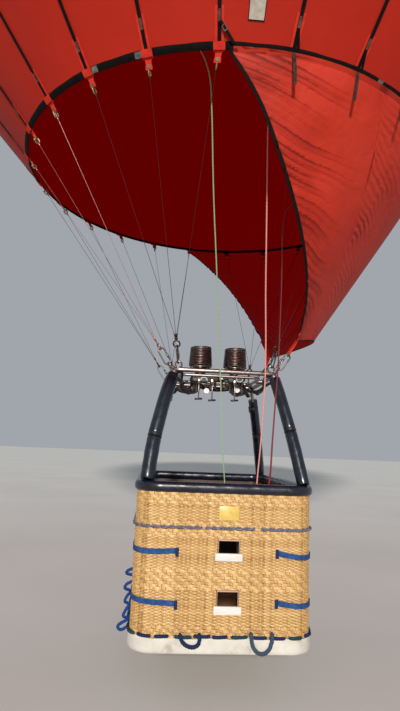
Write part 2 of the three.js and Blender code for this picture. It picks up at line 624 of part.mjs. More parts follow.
function scoopPoint(u, v) {
  const angle = TAPE_PHASE - (SCOOP_START + u * SCOOP_GORES) * GORE_ANGLE;
  const onHem = (down) => {
    const [radius, height] = onCone(down, (HEM_THICK - CLOTH) / 2 + SEAT_GAP + CLOTH);
    return at(-radius * Math.sin(angle), -radius * Math.cos(angle), height);
  };
  if (v < 0) return onHem(SCOOP_LAP.from);
  const top = onHem(SCOOP_LAP.to);
  const foot = SCOOP_NEAR.foot.clone().lerp(SCOOP_FAR.foot, u);
  const bow = 4 * u * (1 - u);
  foot.add(at(SCOOP_FOOT_BOW.out * bow, 0, SCOOP_FOOT_BOW.up * bow));
  const nearShare = Math.max(0, 1 - 3 * u) ** 2;
  const farShare = Math.max(0, 3 * u - 2) ** 2;
  const edgeWave = Math.sin(Math.PI * v ** EDGE_SKEW);
  const bellyWave = Math.sin(Math.PI * v ** BELLY_SKEW) * (1 - nearShare - farShare);
  const outwards = at(top.x, top.y, 0).setLength(0.8).add(at(0, 0, -0.6));
  return top.lerp(foot, v)
    .addScaledVector(SCOOP_NEAR.bulge, nearShare * edgeWave)
    .addScaledVector(SCOOP_FAR.bulge, farShare * edgeWave)
    .addScaledVector(outwards, SCOOP_BELLY * bellyWave);
}

// A closed body from a grid of points on its outer face, as thick as given, inwards
function thickSheet(grid, thick) {
  const [rows, columns] = [grid.length, grid[0].length];
  const normalAt = (i, j) => {
    const alongRow = grid[i][Math.min(j + 1, columns - 1)].clone().sub(grid[i][Math.max(j - 1, 0)]);
    const downRow = grid[Math.min(i + 1, rows - 1)][j].clone().sub(grid[Math.max(i - 1, 0)][j]);
    return alongRow.cross(downRow).normalize();
  };
  const points = [];
  for (const depth of [0, thick]) {
    grid.forEach((row, i) => row.forEach((point, j) => {
      points.push(...point.clone().addScaledVector(normalAt(i, j), depth).toArray());
    }));
  }
  const id = (layer, i, j) => layer * rows * columns + i * columns + j;
  const corners = [];
  const quad = (a, b, c, d) => corners.push(a, b, c, a, c, d);
  for (let i = 0; i < rows - 1; i += 1) {
    for (let j = 0; j < columns - 1; j += 1) {
      quad(id(0, i, j), id(0, i, j + 1), id(0, i + 1, j + 1), id(0, i + 1, j));
      quad(id(1, i + 1, j), id(1, i + 1, j + 1), id(1, i, j + 1), id(1, i, j));
    }
    quad(id(0, i + 1, 0), id(1, i + 1, 0), id(1, i, 0), id(0, i, 0));
    quad(id(0, i, columns - 1), id(1, i, columns - 1), id(1, i + 1, columns - 1), id(0, i + 1, columns - 1));
  }
  for (let j = 0; j < columns - 1; j += 1) {
    quad(id(0, 0, j), id(1, 0, j), id(1, 0, j + 1), id(0, 0, j + 1));
    quad(id(0, rows - 1, j + 1), id(1, rows - 1, j + 1), id(1, rows - 1, j), id(0, rows - 1, j));
  }
  const geometry = new THREE.BufferGeometry();
  geometry.setAttribute('position', new THREE.Float32BufferAttribute(points, 3));
  geometry.setIndex(corners);
  return solidOf(geometry);
}

const scoopGrid = [];
for (let row = -1; row <= SCOOP_ROWS; row += 1) {
  const line = [];
  for (let column = 0; column <= SCOOP_COLUMNS; column += 1) {
    line.push(scoopPoint(column / SCOOP_COLUMNS, row / SCOOP_ROWS));
  }
  scoopGrid.push(line);
}
show('scoop', thickSheet(scoopGrid, -CLOTH), MATERIALS.scoopCloth);

export default balloon;
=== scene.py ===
"""Looks of the hot air balloon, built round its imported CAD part.

Lengths are metres. Heights are above the underside of the basket, and settle() lifts each finished piece
into the part's own frame. X runs to the right of the basket end that has the plate, Y to its other end.
"""

import random
from math import acos, copysign, cos, pi, radians, sin, sqrt, tan

import bpy
from mathutils import Matrix, Quaternion, Vector


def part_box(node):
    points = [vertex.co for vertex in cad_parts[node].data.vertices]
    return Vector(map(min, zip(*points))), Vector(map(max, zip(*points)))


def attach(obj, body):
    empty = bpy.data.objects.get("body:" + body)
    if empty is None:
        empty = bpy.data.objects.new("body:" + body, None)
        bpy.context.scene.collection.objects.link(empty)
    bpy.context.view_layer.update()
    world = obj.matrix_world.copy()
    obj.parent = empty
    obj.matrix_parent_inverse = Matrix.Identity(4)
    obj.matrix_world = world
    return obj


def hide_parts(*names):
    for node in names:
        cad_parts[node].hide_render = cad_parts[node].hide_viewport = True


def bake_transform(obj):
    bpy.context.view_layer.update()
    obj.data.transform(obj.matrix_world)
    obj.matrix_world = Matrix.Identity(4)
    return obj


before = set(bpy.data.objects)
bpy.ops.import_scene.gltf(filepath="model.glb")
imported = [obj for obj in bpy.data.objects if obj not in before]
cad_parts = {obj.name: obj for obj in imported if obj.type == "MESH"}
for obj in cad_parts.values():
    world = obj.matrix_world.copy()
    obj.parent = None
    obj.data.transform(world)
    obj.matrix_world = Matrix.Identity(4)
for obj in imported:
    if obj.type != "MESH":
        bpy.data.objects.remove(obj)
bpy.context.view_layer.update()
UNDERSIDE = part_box("basket_floor")[0].z
PI = pi
EAST, AWAY, UP = Vector((1, 0, 0)), Vector((0, 1, 0)), Vector((0, 0, 1))
chance = random.Random(7)

# Driving dimensions, as in the part's source

GORES = 24
GORE_ANGLE = 2 * PI / GORES
TAPE_PHASE = 0.142
MOUTH_HEIGHT = 3.983
MOUTH_RADIUS = 1.868
CONE = radians(41)
EQUATOR_RADIUS = 8.8
EQUATOR_HEIGHT = 15.248
CROWN_RISE = 7.0
VENT_RADIUS = 2.35
HEM_DEPTH = 0.045

WALL_CORNER = 0.185
WALL_BOTTOM = 0.044
WALL_TOP = 1.080
NEAR_DEPTH, SIDE_DEPTH = 0.925, 0.655
SIDES = [
    # name, which way it runs, which way it faces, half of its straight length, distance from the middle
    ("near", (1, 0), (0, -1), 0.470, NEAR_DEPTH),
    ("right", (0, 1), (1, 0), 0.740, SIDE_DEPTH),
    ("far", (-1, 0), (0, 1), 0.470, NEAR_DEPTH),
    ("left", (0, -1), (-1, 0), 0.740, SIDE_DEPTH),
]
# Which way the walls with steps, and the long ones, face, and their distance from the middle
ENDS = [(face[1], depth) for _, _, face, _, depth in SIDES[::2]]
LONG_SIDES = [(face[0], depth) for _, _, face, _, depth in SIDES[1::2]]
RIM_BOTTOM, RIM_TOP, RIM_WIDTH, RIM_OVERHANG = 1.080, 1.160, 0.092, 0.020

FRAME_HEIGHT = 2.030
FRAME_HALF_X, FRAME_HALF_Y, FRAME_CORNER, FRAME_TUBE = 0.430, 0.545, 0.070, 0.019
GIMBAL_HALF_X, GIMBAL_HALF_Y, GIMBAL_CORNER, GIMBAL_TUBE = 0.350, 0.250, 0.060, 0.013
CARRIER_HALF, CARRIER_BAR_Y, CARRIER_TUBE = 0.240, 0.092, 0.011
PIN_RADIUS, BOSS_RADIUS = 0.008, 0.018
BURNER_X = 0.160
CAN_BOTTOM, CAN_HEIGHT, CAN_RADIUS, CAN_TURNS = 2.142, 0.185, 0.110, 12

CORNERS = [
    # name, side along X, side along Y, first of its six load tapes
    ("near_left", -1, -1, 0),
    ("far_left", -1, 1, 6),
    ("far_right", 1, 1, 12),
    ("near_right", 1, -1, 18),
]
CHAINS = [
    # number, turn of its eye round the frame's corner in degrees, first of its three load tapes
    (1, -32, 0),
    (2, 32, 3),
]


# Small tools: places, selection, finishing, and the shapes that repeat


def shares(steps):
    """Even shares of a length, from 0 to 1."""
    return [step / steps for step in range(steps + 1)]


def polar(angle, radius=1.0, height=0.0):
    """A point at an angle round the upright axis."""
    return Vector((radius * cos(angle), radius * sin(angle), height))


def squared(angle, power):
    """Both coordinates of a point of a circle that a power below one presses towards a square."""
    return [copysign(abs(part) ** power, part) for part in (cos(angle), sin(angle))]


def outward(tape):
    """The level way out of the envelope at a load tape's number, which may be a fraction."""
    angle = TAPE_PHASE + tape * GORE_ANGLE
    return Vector((-sin(angle), -cos(angle), 0))


def only(obj):
    bpy.ops.object.select_all(action="DESELECT")
    obj.select_set(True)
    bpy.context.view_layer.objects.active = obj


def edit(obj, *steps):
    """Runs edit-mode steps on everything in a mesh."""
    only(obj)
    bpy.ops.object.mode_set(mode="EDIT")
    bpy.ops.mesh.select_all(action="SELECT")
    for step in steps:
        step()
    bpy.ops.object.mode_set(mode="OBJECT")
    return obj


def cut_faces(obj, test):
    """Deletes the faces of a mesh that pass a test."""
    only(obj)
    bpy.context.tool_settings.mesh_select_mode = (False, False, True)
    bpy.ops.object.mode_set(mode="EDIT")
    bpy.ops.mesh.select_all(action="DESELECT")
    bpy.ops.object.mode_set(mode="OBJECT")
    for face in obj.data.polygons:
        face.select = test(face)
    bpy.ops.object.mode_set(mode="EDIT")
    bpy.ops.mesh.delete(type="FACE")
    bpy.ops.object.mode_set(mode="OBJECT")
    bpy.context.tool_settings.mesh_select_mode = (True, False, False)


def weld():
    bpy.ops.mesh.remove_doubles(threshold=1e-5)


def face_out():
    bpy.ops.mesh.normals_make_consistent(inside=False)


def cap_ends():
    bpy.ops.mesh.fill_holes(sides=64)
    face_out()


def joined(objs):
    """Several objects as one mesh."""
    bpy.ops.object.select_all(action="DESELECT")
    for obj in objs:
        obj.select_set(True)
    bpy.context.view_layer.objects.active = objs[0]
    if len(objs) > 1:
        bpy.ops.object.join()
    return bpy.context.view_layer.objects.active


def settle(obj, name, finishes, body="root", stands_for=(), smooth=45):
    """Ends a piece: place in the mesh, smooth faces, name, materials, body, and the CAD nodes it stands for."""
    obj.matrix_world = Matrix.Translation((0, 0, UNDERSIDE)) @ obj.matrix_world
    only(obj)
    bpy.ops.object.transform_apply(location=True, rotation=True, scale=True)
    bpy.ops.object.shade_smooth_by_angle(angle=radians(smooth))
    obj.name = name
    obj.data.name = name
    kept = [face.material_index for face in obj.data.polygons]
    obj.data.materials.clear()
    for finish in finishes if isinstance(finishes, (list, tuple)) else [finishes]:
        obj.data.materials.append(finish)
    obj.data.polygons.foreach_set("material_index", kept)
    if body:
        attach(obj, body)
    if stands_for:
        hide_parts(*stands_for)
    return obj


def surface(columns, rows, place, closed=False):
    """A grid whose points go where place(share across, share along) puts them."""
    bpy.ops.object.select_all(action="DESELECT")
    bpy.ops.mesh.primitive_grid_add(x_subdivisions=columns, y_subdivisions=rows, size=2)
    obj = bpy.context.object
    for vertex in obj.data.vertices:
        across = round((vertex.co.x + 1) / 2 * columns) / columns
        along = round((vertex.co.y + 1) / 2 * rows) / rows
        vertex.co = place(across, along)
    return edit(obj, weld, face_out) if closed else obj


def facing(obj, outward):
    """Turns an open sheet over if its middle face looks the wrong way."""
    face = obj.data.polygons[len(obj.data.polygons) // 2]
    if face.normal.dot(Vector(outward)) < 0:
        edit(obj, bpy.ops.mesh.flip_normals)
    return obj


def thicken(obj, thick, finishes=()):
    """Gives a sheet its thickness. Of two finishes the second goes on the side it grows to."""
    for finish in finishes:
        obj.data.materials.append(finish)
    only(obj)
    solid = obj.modifiers.new("Thickness", "SOLIDIFY")
    solid.thickness, solid.offset, solid.material_offset = thick, -1, max(0, len(finishes) - 1)
    bpy.ops.object.modifier_apply(modifier=solid.name)
    return obj


def pipes(lines, radius, closed=False, sides=8):
    """Round tubes along lines of points: one curve with a round bevel, made a mesh. A radius may be a list."""
    curve = bpy.data.curves.new("Tubes", "CURVE")
    curve.dimensions = "3D"
    curve.bevel_depth = 1.0
    curve.bevel_resolution = (sides - 4) // 2
    curve.use_fill_caps = True
    for line in lines:
        spline = curve.splines.new("POLY")
        spline.points.add(len(line) - 1)
        spline.use_cyclic_u = closed
        for i, (point, spot) in enumerate(zip(spline.points, line)):
            point.co = (*spot, 1)
            point.radius = radius[i] if isinstance(radius, list) else radius
    obj = bpy.data.objects.new("Tubes", curve)
    bpy.context.scene.collection.objects.link(obj)
    only(obj)
    bpy.ops.object.convert(target="MESH")
    return edit(bpy.context.object, weld, face_out)


def through(knots, steps=6):
    """A smooth line through given points."""
    ends = [knots[0], *knots, knots[-1]]
    line = []
    for i in range(1, len(ends) - 2):
        a, b, c, d = (Vector(ends[i + k]) for k in (-1, 0, 1, 2))
        for t in shares(steps)[:-1]:
            line.append(0.5 * (2 * b + (c - a) * t + (2 * a - 5 * b + 4 * c - d) * t ** 2
                               + (3 * b - a - 3 * c + d) * t ** 3))
    return line + [Vector(knots[-1])]


def stations(line, pitch):
    """Points at an even pitch along a line."""
    line = [Vector(point) for point in line]
    lengths = [0.0]
    for a, b in zip(line, line[1:]):
        lengths.append(lengths[-1] + (b - a).length)
    count = max(2, round(lengths[-1] / pitch))
    spots, k = [], 0
    for i in range(count + 1):
        wanted = lengths[-1] * i / count
        while k < len(line) - 2 and lengths[k + 1] < wanted:
            k += 1
        share = (wanted - lengths[k]) / max(lengths[k + 1] - lengths[k], 1e-9)
        spots.append(line[k].lerp(line[k + 1], share))
    return spots


def rope(lines, radius, pitch):
    """Laid rope along each line: three strands that wind round it once in every pitch."""
    strands, steps = 3, 6
    winding = []
    for line in lines:
        spots = stations(line, pitch / steps)
        for strand in range(strands):
            wound = []
            for i, spot in enumerate(spots):
                run = (spots[min(i + 1, len(spots) - 1)] - spots[max(i - 1, 0)]).normalized()
                side = run.cross(Vector((0.31, 0.17, 0.93))).normalized()
                turn = 2 * PI * (i / steps + strand / strands)
                wound.append(spot + Quaternion(run, turn) @ side * radius * 0.46)
            winding.append(wound)
    return pipes(winding, radius * 0.62, sides=6)


def band(line, across, width, thick, closed=False):
    """A flat strap along a line. across, the way of its width, may be a list; width may be a function."""
    last = len(line) - 1

    def place(share, corner):
        i = round(share * last)
        spot = Vector(line[i % len(line)])
        run = Vector(line[min(i + 1, last)]) - Vector(line[max(i - 1, 0)])
        side = Vector(across[i] if isinstance(across, list) else across).normalized()
        out = run.cross(side).normalized()
        half = (width(i / last) if callable(width) else width) / 2
        turn = round(corner * 4) % 4
        return spot + side * half * (1, 1, -1, -1)[turn] + out * thick / 2 * (1, -1, -1, 1)[turn]

    obj = surface(last, 4, place, closed=True)
    return obj if closed else edit(obj, cap_ends)


def turned(rows, start, end=None, sides=24):
    """A lathe-turned shape, upright or towards its end: a disc pulled out by rows of (radius, distance)."""
    bpy.ops.object.select_all(action="DESELECT")
    bpy.ops.mesh.primitive_circle_add(vertices=sides, radius=rows[0][0], fill_type="NGON")
    obj = bpy.context.object
    bpy.ops.object.mode_set(mode="EDIT")
    bpy.ops.mesh.select_all(action="SELECT")
    bpy.ops.transform.translate(value=(0, 0, rows[0][1]))
    for (last_radius, last_way), (radius, way) in zip(rows, rows[1:]):
        bpy.ops.mesh.extrude_region_move(TRANSFORM_OT_translate={"value": (0, 0, way - last_way)})
        grow = radius / last_radius
        bpy.ops.transform.resize(value=(grow, grow, 1), center_override=(0, 0, way))
    bpy.ops.mesh.select_all(action="SELECT")
    face_out()
    bpy.ops.object.mode_set(mode="OBJECT")
    start = Vector(start)
    turn = UP.rotation_difference(Vector(end) - start if end else UP)
    obj.matrix_world = Matrix.Translation(start) @ turn.to_matrix().to_4x4()
    return obj


def rod(start, end, radius, sides=16, edge=0.0015):
    length = (Vector(end) - Vector(start)).length
    edge = min(edge, radius / 3)
    return turned([(radius - edge, 0), (radius, edge), (radius, length - edge), (radius - edge, length)],
                  start, end, sides)


def block(centre, size, edge=0.002):
    """A box with rounded edges."""
    bpy.ops.object.select_all(action="DESELECT")
    bpy.ops.mesh.primitive_cube_add(size=1, location=(0, 0, 0), scale=size)
    obj = bpy.context.object
    bpy.ops.object.transform_apply(scale=True)
    edit(obj, lambda: bpy.ops.mesh.bevel(offset=edge, segments=2, affect="EDGES"))
    obj.matrix_world = Matrix.Translation(Vector(centre))
    return obj


def chain_link(centre, right, up, half_right, half_up, corner, tube, sides=12, steps=8):
    """A closed loop of round tube along a rounded rectangle."""
    centre, right, up = Vector(centre), Vector(right).normalized(), Vector(up).normalized()
    line = []
    for quarter, (side, rise) in enumerate([(1, 1), (-1, 1), (-1, -1), (1, -1)]):
        for share in shares(steps):
            angle = (quarter + share) * PI / 2
            line.append(centre + right * (side * (half_right - corner) + corner * cos(angle))
                        + up * (rise * (half_up - corner) + corner * sin(angle)))
    line = [point for i, point in enumerate(line) if (point - line[i - 1]).length > 1e-5]
    return pipes([line], tube, closed=True, sides=sides)


def hoop(centre, radius, tube, sides, steps):
    """A level ring of round tube."""
    line = [centre + polar(2 * PI * share, radius) for share in shares(steps)[:-1]]
    return pipes([line], tube, closed=True, sides=sides)


def side_length(side):
    return 2 * side[3] + WALL_CORNER * PI / 2


PERIMETER = sum(side_length(side) for side in SIDES)


def on_side(side, along, outset=0.0, height=0.0):
    """A point so far along one side of the basket from its middle, round its corners, and so far out of it."""
    _, run, face, straight, depth = side
    run, face = Vector((*run, 0)), Vector((*face, 0))
    way = copysign(1, along)
    turn = max(0.0, abs(along) - straight) / WALL_CORNER
    centre = run * (way * min(abs(along), straight)) + face * (depth - WALL_CORNER)
    reach = WALL_CORNER + outset
    return centre + face * (reach * cos(turn)) + run * (way * reach * sin(turn)) + UP * height


def around(share, outset=0.0, height=0.0):
    """A point so far round the whole basket, from the left end of its near side."""
    along = (share % 1) * PERIMETER
    for side in SIDES[:-1]:
        if along < side_length(side):
            return on_side(side, along - side_length(side) / 2, outset, height)
        along -= side_length(side)
    return on_side(SIDES[-1], along - side_length(SIDES[-1]) / 2, outset, height)


# Materials

SEAM_SHARE = 0.18
FINE_FOLDS, FINE_FOLD_LEAN = 30.0, 25.0


def colour(hex_code):
    """An sRGB hex colour as the linear colour that shaders take."""
    parts = [int(hex_code[i:i + 2], 16) / 255 for i in (1, 3, 5)]
    return (*[p / 12.92 if p <= 0.04045 else ((p + 0.055) / 1.055) ** 2.4 for p in parts], 1)


def add(look, kind, inputs=None, stops=(), **settings):
    """Adds a shader node: its settings, the stops of its ramp, and what each input holds or is linked to."""
    tree = look[1]
    node = tree.nodes.new("ShaderNode" + kind)
    for name, value in settings.items():
        setattr(node, name, value)
    for i, (position, code) in enumerate(stops):
        stop = node.color_ramp.elements[i] if i < 2 else node.color_ramp.elements.new(position)
        stop.position, stop.color = position, colour(code)
    for socket, value in (inputs or {}).items():
        if isinstance(value, bpy.types.NodeSocket):
            tree.links.new(value, node.inputs[socket])
        else:
            node.inputs[socket].default_value = value
    return node


def material(name, **sockets):
    """A new material, its node tree and its shader, whose own sockets are set by name."""
    made = bpy.data.materials.new(name)
    made.use_nodes = True
    shader = made.node_tree.nodes["Principled BSDF"]
    for socket, value in sockets.items():
        shader.inputs[socket.replace("_", " ")].default_value = value
    return made, made.node_tree, shader.inputs


def pattern(look, kind, output="Fac", stretch=1.0, **settings):
    """A texture in the object's own metres, pressed together by a stretch. Capitalised settings are sockets."""
    place = add(look, "TexCoord").outputs["Object"]
    if stretch != 1.0:
        place = add(look, "Mapping", {"Vector": place, "Scale": (1.0, stretch, stretch)}).outputs["Vector"]
    sockets = {name.replace("_", " "): settings.pop(name) for name in list(settings) if name[0].isupper()}
    return add(look, kind, {"Vector": place, **sockets}, **settings).outputs[output]


def calculate(look, operation, *values):
    """The result of one sum in a material."""
    return add(look, "Math", dict(enumerate(values)), operation=operation).outputs[0]


def ranged(look, value, start, end=(0.0, 1.0), **settings):
    """A material's value, taken from one range to another."""
    inputs = {"Value": value, "From Min": start[0], "From Max": start[1], "To Min": end[0], "To Max": end[1]}
    return add(look, "MapRange", inputs, **settings).outputs["Result"]


def dressed(look, tint, stops, rise=None, depth=0.0, strength=0.0, gloss=None):
    """Ends a material: a ramp over the tint is its colour, the rise its bump, the gloss its roughness."""
    made, tree, shader = look
    tree.links.new(add(look, "ValToRGB", {"Fac": tint}, stops).outputs["Color"], shader["Base Color"])
    if rise is not None:
        bump = add(look, "Bump", {"Height": rise, "Distance": depth, "Strength": strength})
        tree.links.new(bump.outputs["Normal"], shader["Normal"])
    if gloss is not None:
        tree.links.new(gloss, shader["Roughness"])
    return made


def ripstop_nylon():
    """Ripstop nylon, woven and silicone-coated: a soft satin red that the weather has dulled in streaks."""
    look = material("Ripstop nylon, outside", Roughness=0.6, Specular_IOR_Level=0.15)
    streaks = pattern(look, "TexNoise", Scale=0.35, Detail=6.0, Roughness=0.6)
    # Ripstop squares are 6 mm
    cloth, thread = (0, 0, 0, 1), (1, 1, 1, 1)
    warp = pattern(look, "TexBrick", Scale=1 / 0.006, Mortar_Size=0.012, Color1=cloth, Color2=cloth,
                   Mortar=thread, offset=0.0)
    folds = pattern(look, "TexNoise", Scale=2.2, Detail=4.0)
    rise = calculate(look, "MULTIPLY_ADD", warp, 0.02, folds)
    return dressed(look, streaks, [(0.30, "#A82213"), (0.70, "#B92A18")], rise, 0.05, 0.30)


def ripstop_nylon_painted_glow():
    """The same cloth from inside: a darker copy of its colour as painted shade, and an emission that paints the
    light coming through it.
    """
    # Emission paints the light that shines through the cloth; the dark base is painted shade.
    look = material("Ripstop nylon, inside, painted shade and glow", Roughness=0.8, Specular_IOR_Level=0.05, Emission_Strength=0.19,
                    Emission_Color=colour("#BE0002"))
    patches = pattern(look, "TexNoise", Scale=0.5, Detail=3.0)
    return dressed(look, patches, [(0.3, "#560204"), (0.7, "#640406")])


def gathered_aramid(name, fold_shade_colour, low, high, painted_glow=0.0):
    """Flame-proof woven aramid, duller than nylon: painted shade darkens its folds, which fan out fine past the
    seam, and any emission paints the light that comes through it.
    """
    look = material(name, Roughness=0.6, Specular_IOR_Level=0.15, Emission_Strength=painted_glow,
                    Emission_Color=colour("#BE0206"))
    patches = pattern(look, "TexNoise", Scale=1.6, Detail=5.0)
    wander = pattern(look, "TexNoise", Scale=3.0, Detail=3.0)
    creases = pattern(look, "TexNoise", Scale=9.0, Detail=5.0, Distortion=0.6)
    painted_fold_shade = add(look, "Attribute", attribute_name="painted_fold_shade").outputs["Fac"]
    # The sheet's own map: across in shares of its width, down in shares of its height
    sheet = add(look, "SeparateXYZ", {0: add(look, "TexCoord").outputs["UV"]}).outputs
    wandering = calculate(look, "MULTIPLY", wander, 3.5)
    leaning = calculate(look, "MULTIPLY_ADD", sheet["X"], -FINE_FOLD_LEAN, wandering)
    folds = calculate(look, "MULTIPLY_ADD", sheet["Y"], FINE_FOLDS, leaning)
    wave = calculate(look, "SINE", calculate(look, "MULTIPLY", folds, 2 * PI))
    past_seam = ranged(look, sheet["X"], (SEAM_SHARE - 0.005, SEAM_SHARE + 0.012),
                       interpolation_type="SMOOTHSTEP")
    fading = ranged(look, sheet["X"], (SEAM_SHARE + 0.05, SEAM_SHARE + 0.16), (1.0, 0.0))
    uneven = ranged(look, wander, (0.38, 0.62), (0.15, 1.0))
    strength = calculate(look, "MULTIPLY", calculate(look, "MULTIPLY", past_seam, fading), uneven)
    gathers = calculate(look, "MULTIPLY", wave, strength)
    rise = calculate(look, "MULTIPLY_ADD", gathers, 0.30, creases)
    # Painted shade: the colour darkens with the fine gathers' wave and with the fold attribute from the pleats.
    gathered = calculate(look, "MULTIPLY_ADD", gathers, 0.26, patches)
    folded = calculate(look, "MULTIPLY_ADD", painted_fold_shade, -0.75, gathered)
    return dressed(look, folded, [(0.12, fold_shade_colour), (0.40, low), (0.68, high)], rise, 0.012, 0.9)


def polyester_webbing(name, low, high):
    """Woven polyester tape: close ribs across it, dull and dense."""
    look = material(name, Roughness=0.8, Specular_IOR_Level=0.12)
    ribs = pattern(look, "TexWave", Scale=90.0, Distortion=1.5, Detail=2.0, bands_direction="DIAGONAL")
    wear = pattern(look, "TexNoise", Scale=30.0, Detail=4.0)
    return dressed(look, wear, [(0.3, low), (0.75, high)], ribs, 0.001, 0.5)


def brushed_metal(name, low, high, roughness, scratch=0.2):
    """Metal drawn or brushed along its length: fine streaks in the gloss, a little grey in the hollows."""
    look = material(name, Metallic=1.0)
    streaks = pattern(look, "TexNoise", stretch=6.0, Scale=40.0, Detail=6.0)
    gloss = ranged(look, streaks, (0.3, 0.7), (roughness - 0.08, roughness + 0.12))
    return dressed(look, streaks, [(0.3, low), (0.7, high)], streaks, 0.0006, scratch, gloss)


def braided_hose():
    """Rubber hose in a black braid: small diamonds that catch the light."""
    look = material("Braided rubber hose", Roughness=0.45)
    braid = pattern(look, "TexVoronoi", "Distance", Scale=160.0)
    return dressed(look, braid, [(0.1, "#2A2A2E"), (0.6, "#0A0A0C")], braid, 0.002, 0.6)


def padded_leather(name, low, high, roughness):
    """Dyed, polished leather over foam: fine grain, small creases, scuffs that are duller."""
    look = material(name, Coat_Weight=0.25, Coat_Roughness=0.25)
    pores = pattern(look, "TexVoronoi", "Distance", Scale=220.0)
    creases = pattern(look, "TexNoise", Scale=14.0, Detail=6.0, Distortion=0.8)
    gloss = ranged(look, creases, (0.3, 0.75), (roughness, roughness + 0.2))
    rise = calculate(look, "MULTIPLY_ADD", pores, 0.12, creases)
    return dressed(look, creases, [(0.3, low), (0.72, high)], rise, 0.005, 0.25, gloss)


def raw_hide():
    """Raw cow hide, dried and scraped: off-white, stained grey and brown towards the ground."""
    look = material("Raw hide", Roughness=0.8, Sheen_Weight=0.1)
    stains = pattern(look, "TexNoise", Scale=9.0, Detail=8.0, Roughness=0.65)
    scuffs = pattern(look, "TexNoise", Scale=70.0, Detail=6.0)
    tones = [(0.28, "#A29C90"), (0.42, "#C0BCB2"), (0.75, "#D0CCC4")]
    return dressed(look, stains, tones, scuffs, 0.003, 0.5)


def varnished_cane(name, tones):
    """Varnished cane: golden and brown strands, split fibres along them, a low shine."""
    look = material(name, Roughness=0.45, Coat_Weight=0.15, Coat_Roughness=0.3)
    # The point attribute holds each strand's tone and, on the walls, painted shade between the stakes.
    tone_and_shade = add(look, "Attribute", attribute_name="tone_and_shade").outputs["Fac"]
    fibres = pattern(look, "TexNoise", Scale=60.0, Detail=5.0)
    return dressed(look, calculate(look, "MULTIPLY_ADD", fibres, 0.5, tone_and_shade), tones, fibres, 0.002, 0.4)


def grained_wood(name, low, high):
    """Birch plywood or board, sanded and varnished: long soft grain."""
    look = material(name, Roughness=0.5)
    grain = pattern(look, "TexNoise", stretch=12.0, Scale=7.0, Detail=8.0, Distortion=1.2)
    return dressed(look, grain, [(0.3, low), (0.7, high)], grain, 0.001, 0.3)


def laid_fibre(name, low, high, scale=240.0):
    """Spun and laid polyester: soft, matt, with fine fibres that scatter the light."""
    look = material(name, Roughness=0.75, Specular_IOR_Level=0.2)
    fibres = pattern(look, "TexNoise", Scale=scale, Detail=3.0)
    return dressed(look, fibres, [(0.35, low), (0.65, high)], fibres, 0.0015, 0.5)


def flecked_line(name, ground, fleck):
    """Braided line with a second colour woven in as short flecks, 30 mm apart."""
    look = material(name, Roughness=0.7)
    flecks = pattern(look, "TexWave", Scale=1 / 0.030, Distortion=3.0, Detail=2.0, bands_direction="Z")
    return dressed(look, flecks, [(0.45, ground), (0.60, fleck)])


def moulded_plastic(name, low, high, roughness=0.35):
    """Moulded or pressed plastic: even, glossy, with a faint cloud and fine scratches in the gloss."""
    look = material(name, Coat_Weight=0.1)
    cloud = pattern(look, "TexNoise", Scale=35.0, Detail=5.0)
    gloss = ranged(look, cloud, (0.0, 1.0), (roughness - 0.1, roughness + 0.15))
    return dressed(look, cloud, [(0.3, low), (0.7, high)], gloss=gloss)


NYLON = [ripstop_nylon(), ripstop_nylon_painted_glow()]
# The outside glows a little and the inside is a darker copy that glows more: painted light coming through the
# cloth, and painted shade inside.
SCOOP_CLOTH = [gathered_aramid("Aramid cloth, outside, painted shade and glow", "#6A160D", "#A62B1B", "#B43423", 0.06),
               gathered_aramid("Aramid cloth, inside, painted shade and glow", "#460608", "#640A0C", "#780E10", 0.17)]
BLACK_TAPE = polyester_webbing("Black polyester webbing", "#060505", "#12100E")
RED_TAPE = polyester_webbing("Red polyester webbing", "#BE281C", "#D23A2A")
GREY_TAPE = polyester_webbing("Grey stitched webbing", "#3A2A26", "#6A5650")
TAIL_TAPE = polyester_webbing("Worn black webbing", "#1E1816", "#44362F")
DARK_BINDING = polyester_webbing("Dark red binding", "#1E060A", "#34100F")
PALE_PATCH = polyester_webbing("Pale hem patch", "#3E403A", "#7E7E76")
BLUE_TAPE = polyester_webbing("Blue polyester webbing", "#1C3868", "#32568C")
STEEL = brushed_metal("Stainless steel tube, brushed", "#857876", "#B3A4A1", 0.36)
# Two copies of one wire finish: the darker one is painted shade, the brighter one a painted highlight of the low
# sun.
SHADED_WIRE_STEEL = brushed_metal("Stainless steel wire rope", "#3E2C2A", "#5E4844", 0.45, 0.5)
SUNLIT_WIRE = brushed_metal("Stainless steel wire rope, painted highlight", "#96716C", "#C89C96", 0.40, 0.5)
# A darker copy of the steel finish: painted shade on the karabiners, also used for the brighter port rims.
SHADED_LINK_STEEL = brushed_metal("Steel link, painted shade", "#4C4E4C", "#828482", 0.42)
THIMBLE = brushed_metal("Brass thimble", "#7E6A50", "#B09A74", 0.46)
DARK_STEEL = brushed_metal("Steel casting, sooted", "#2C2825", "#5C544C", 0.42)
COIL = brushed_metal("Stainless steel coil, darkened by heat", "#2C2221", "#86706B", 0.33, 0.1)
BRASS = brushed_metal("Nickel-plated brass, machined", "#6E665C", "#A39A8C", 0.30)
DARK_BRASS = brushed_metal("Brass fitting, tarnished", "#5A4E48", "#8E7C74", 0.40)
HOSE = braided_hose()
SLEEVE = padded_leather("Padded sleeve leather", "#070C14", "#101A28", 0.17)
RIM = padded_leather("Polished leather rim roll", "#080B16", "#141A2C", 0.20)
HIDE = raw_hide()
CANE = varnished_cane("Varnished cane",
                      [(0.05, "#7A5228"), (0.35, "#BE965A"), (0.65, "#D4B078"), (1.0, "#E6CC9C")])
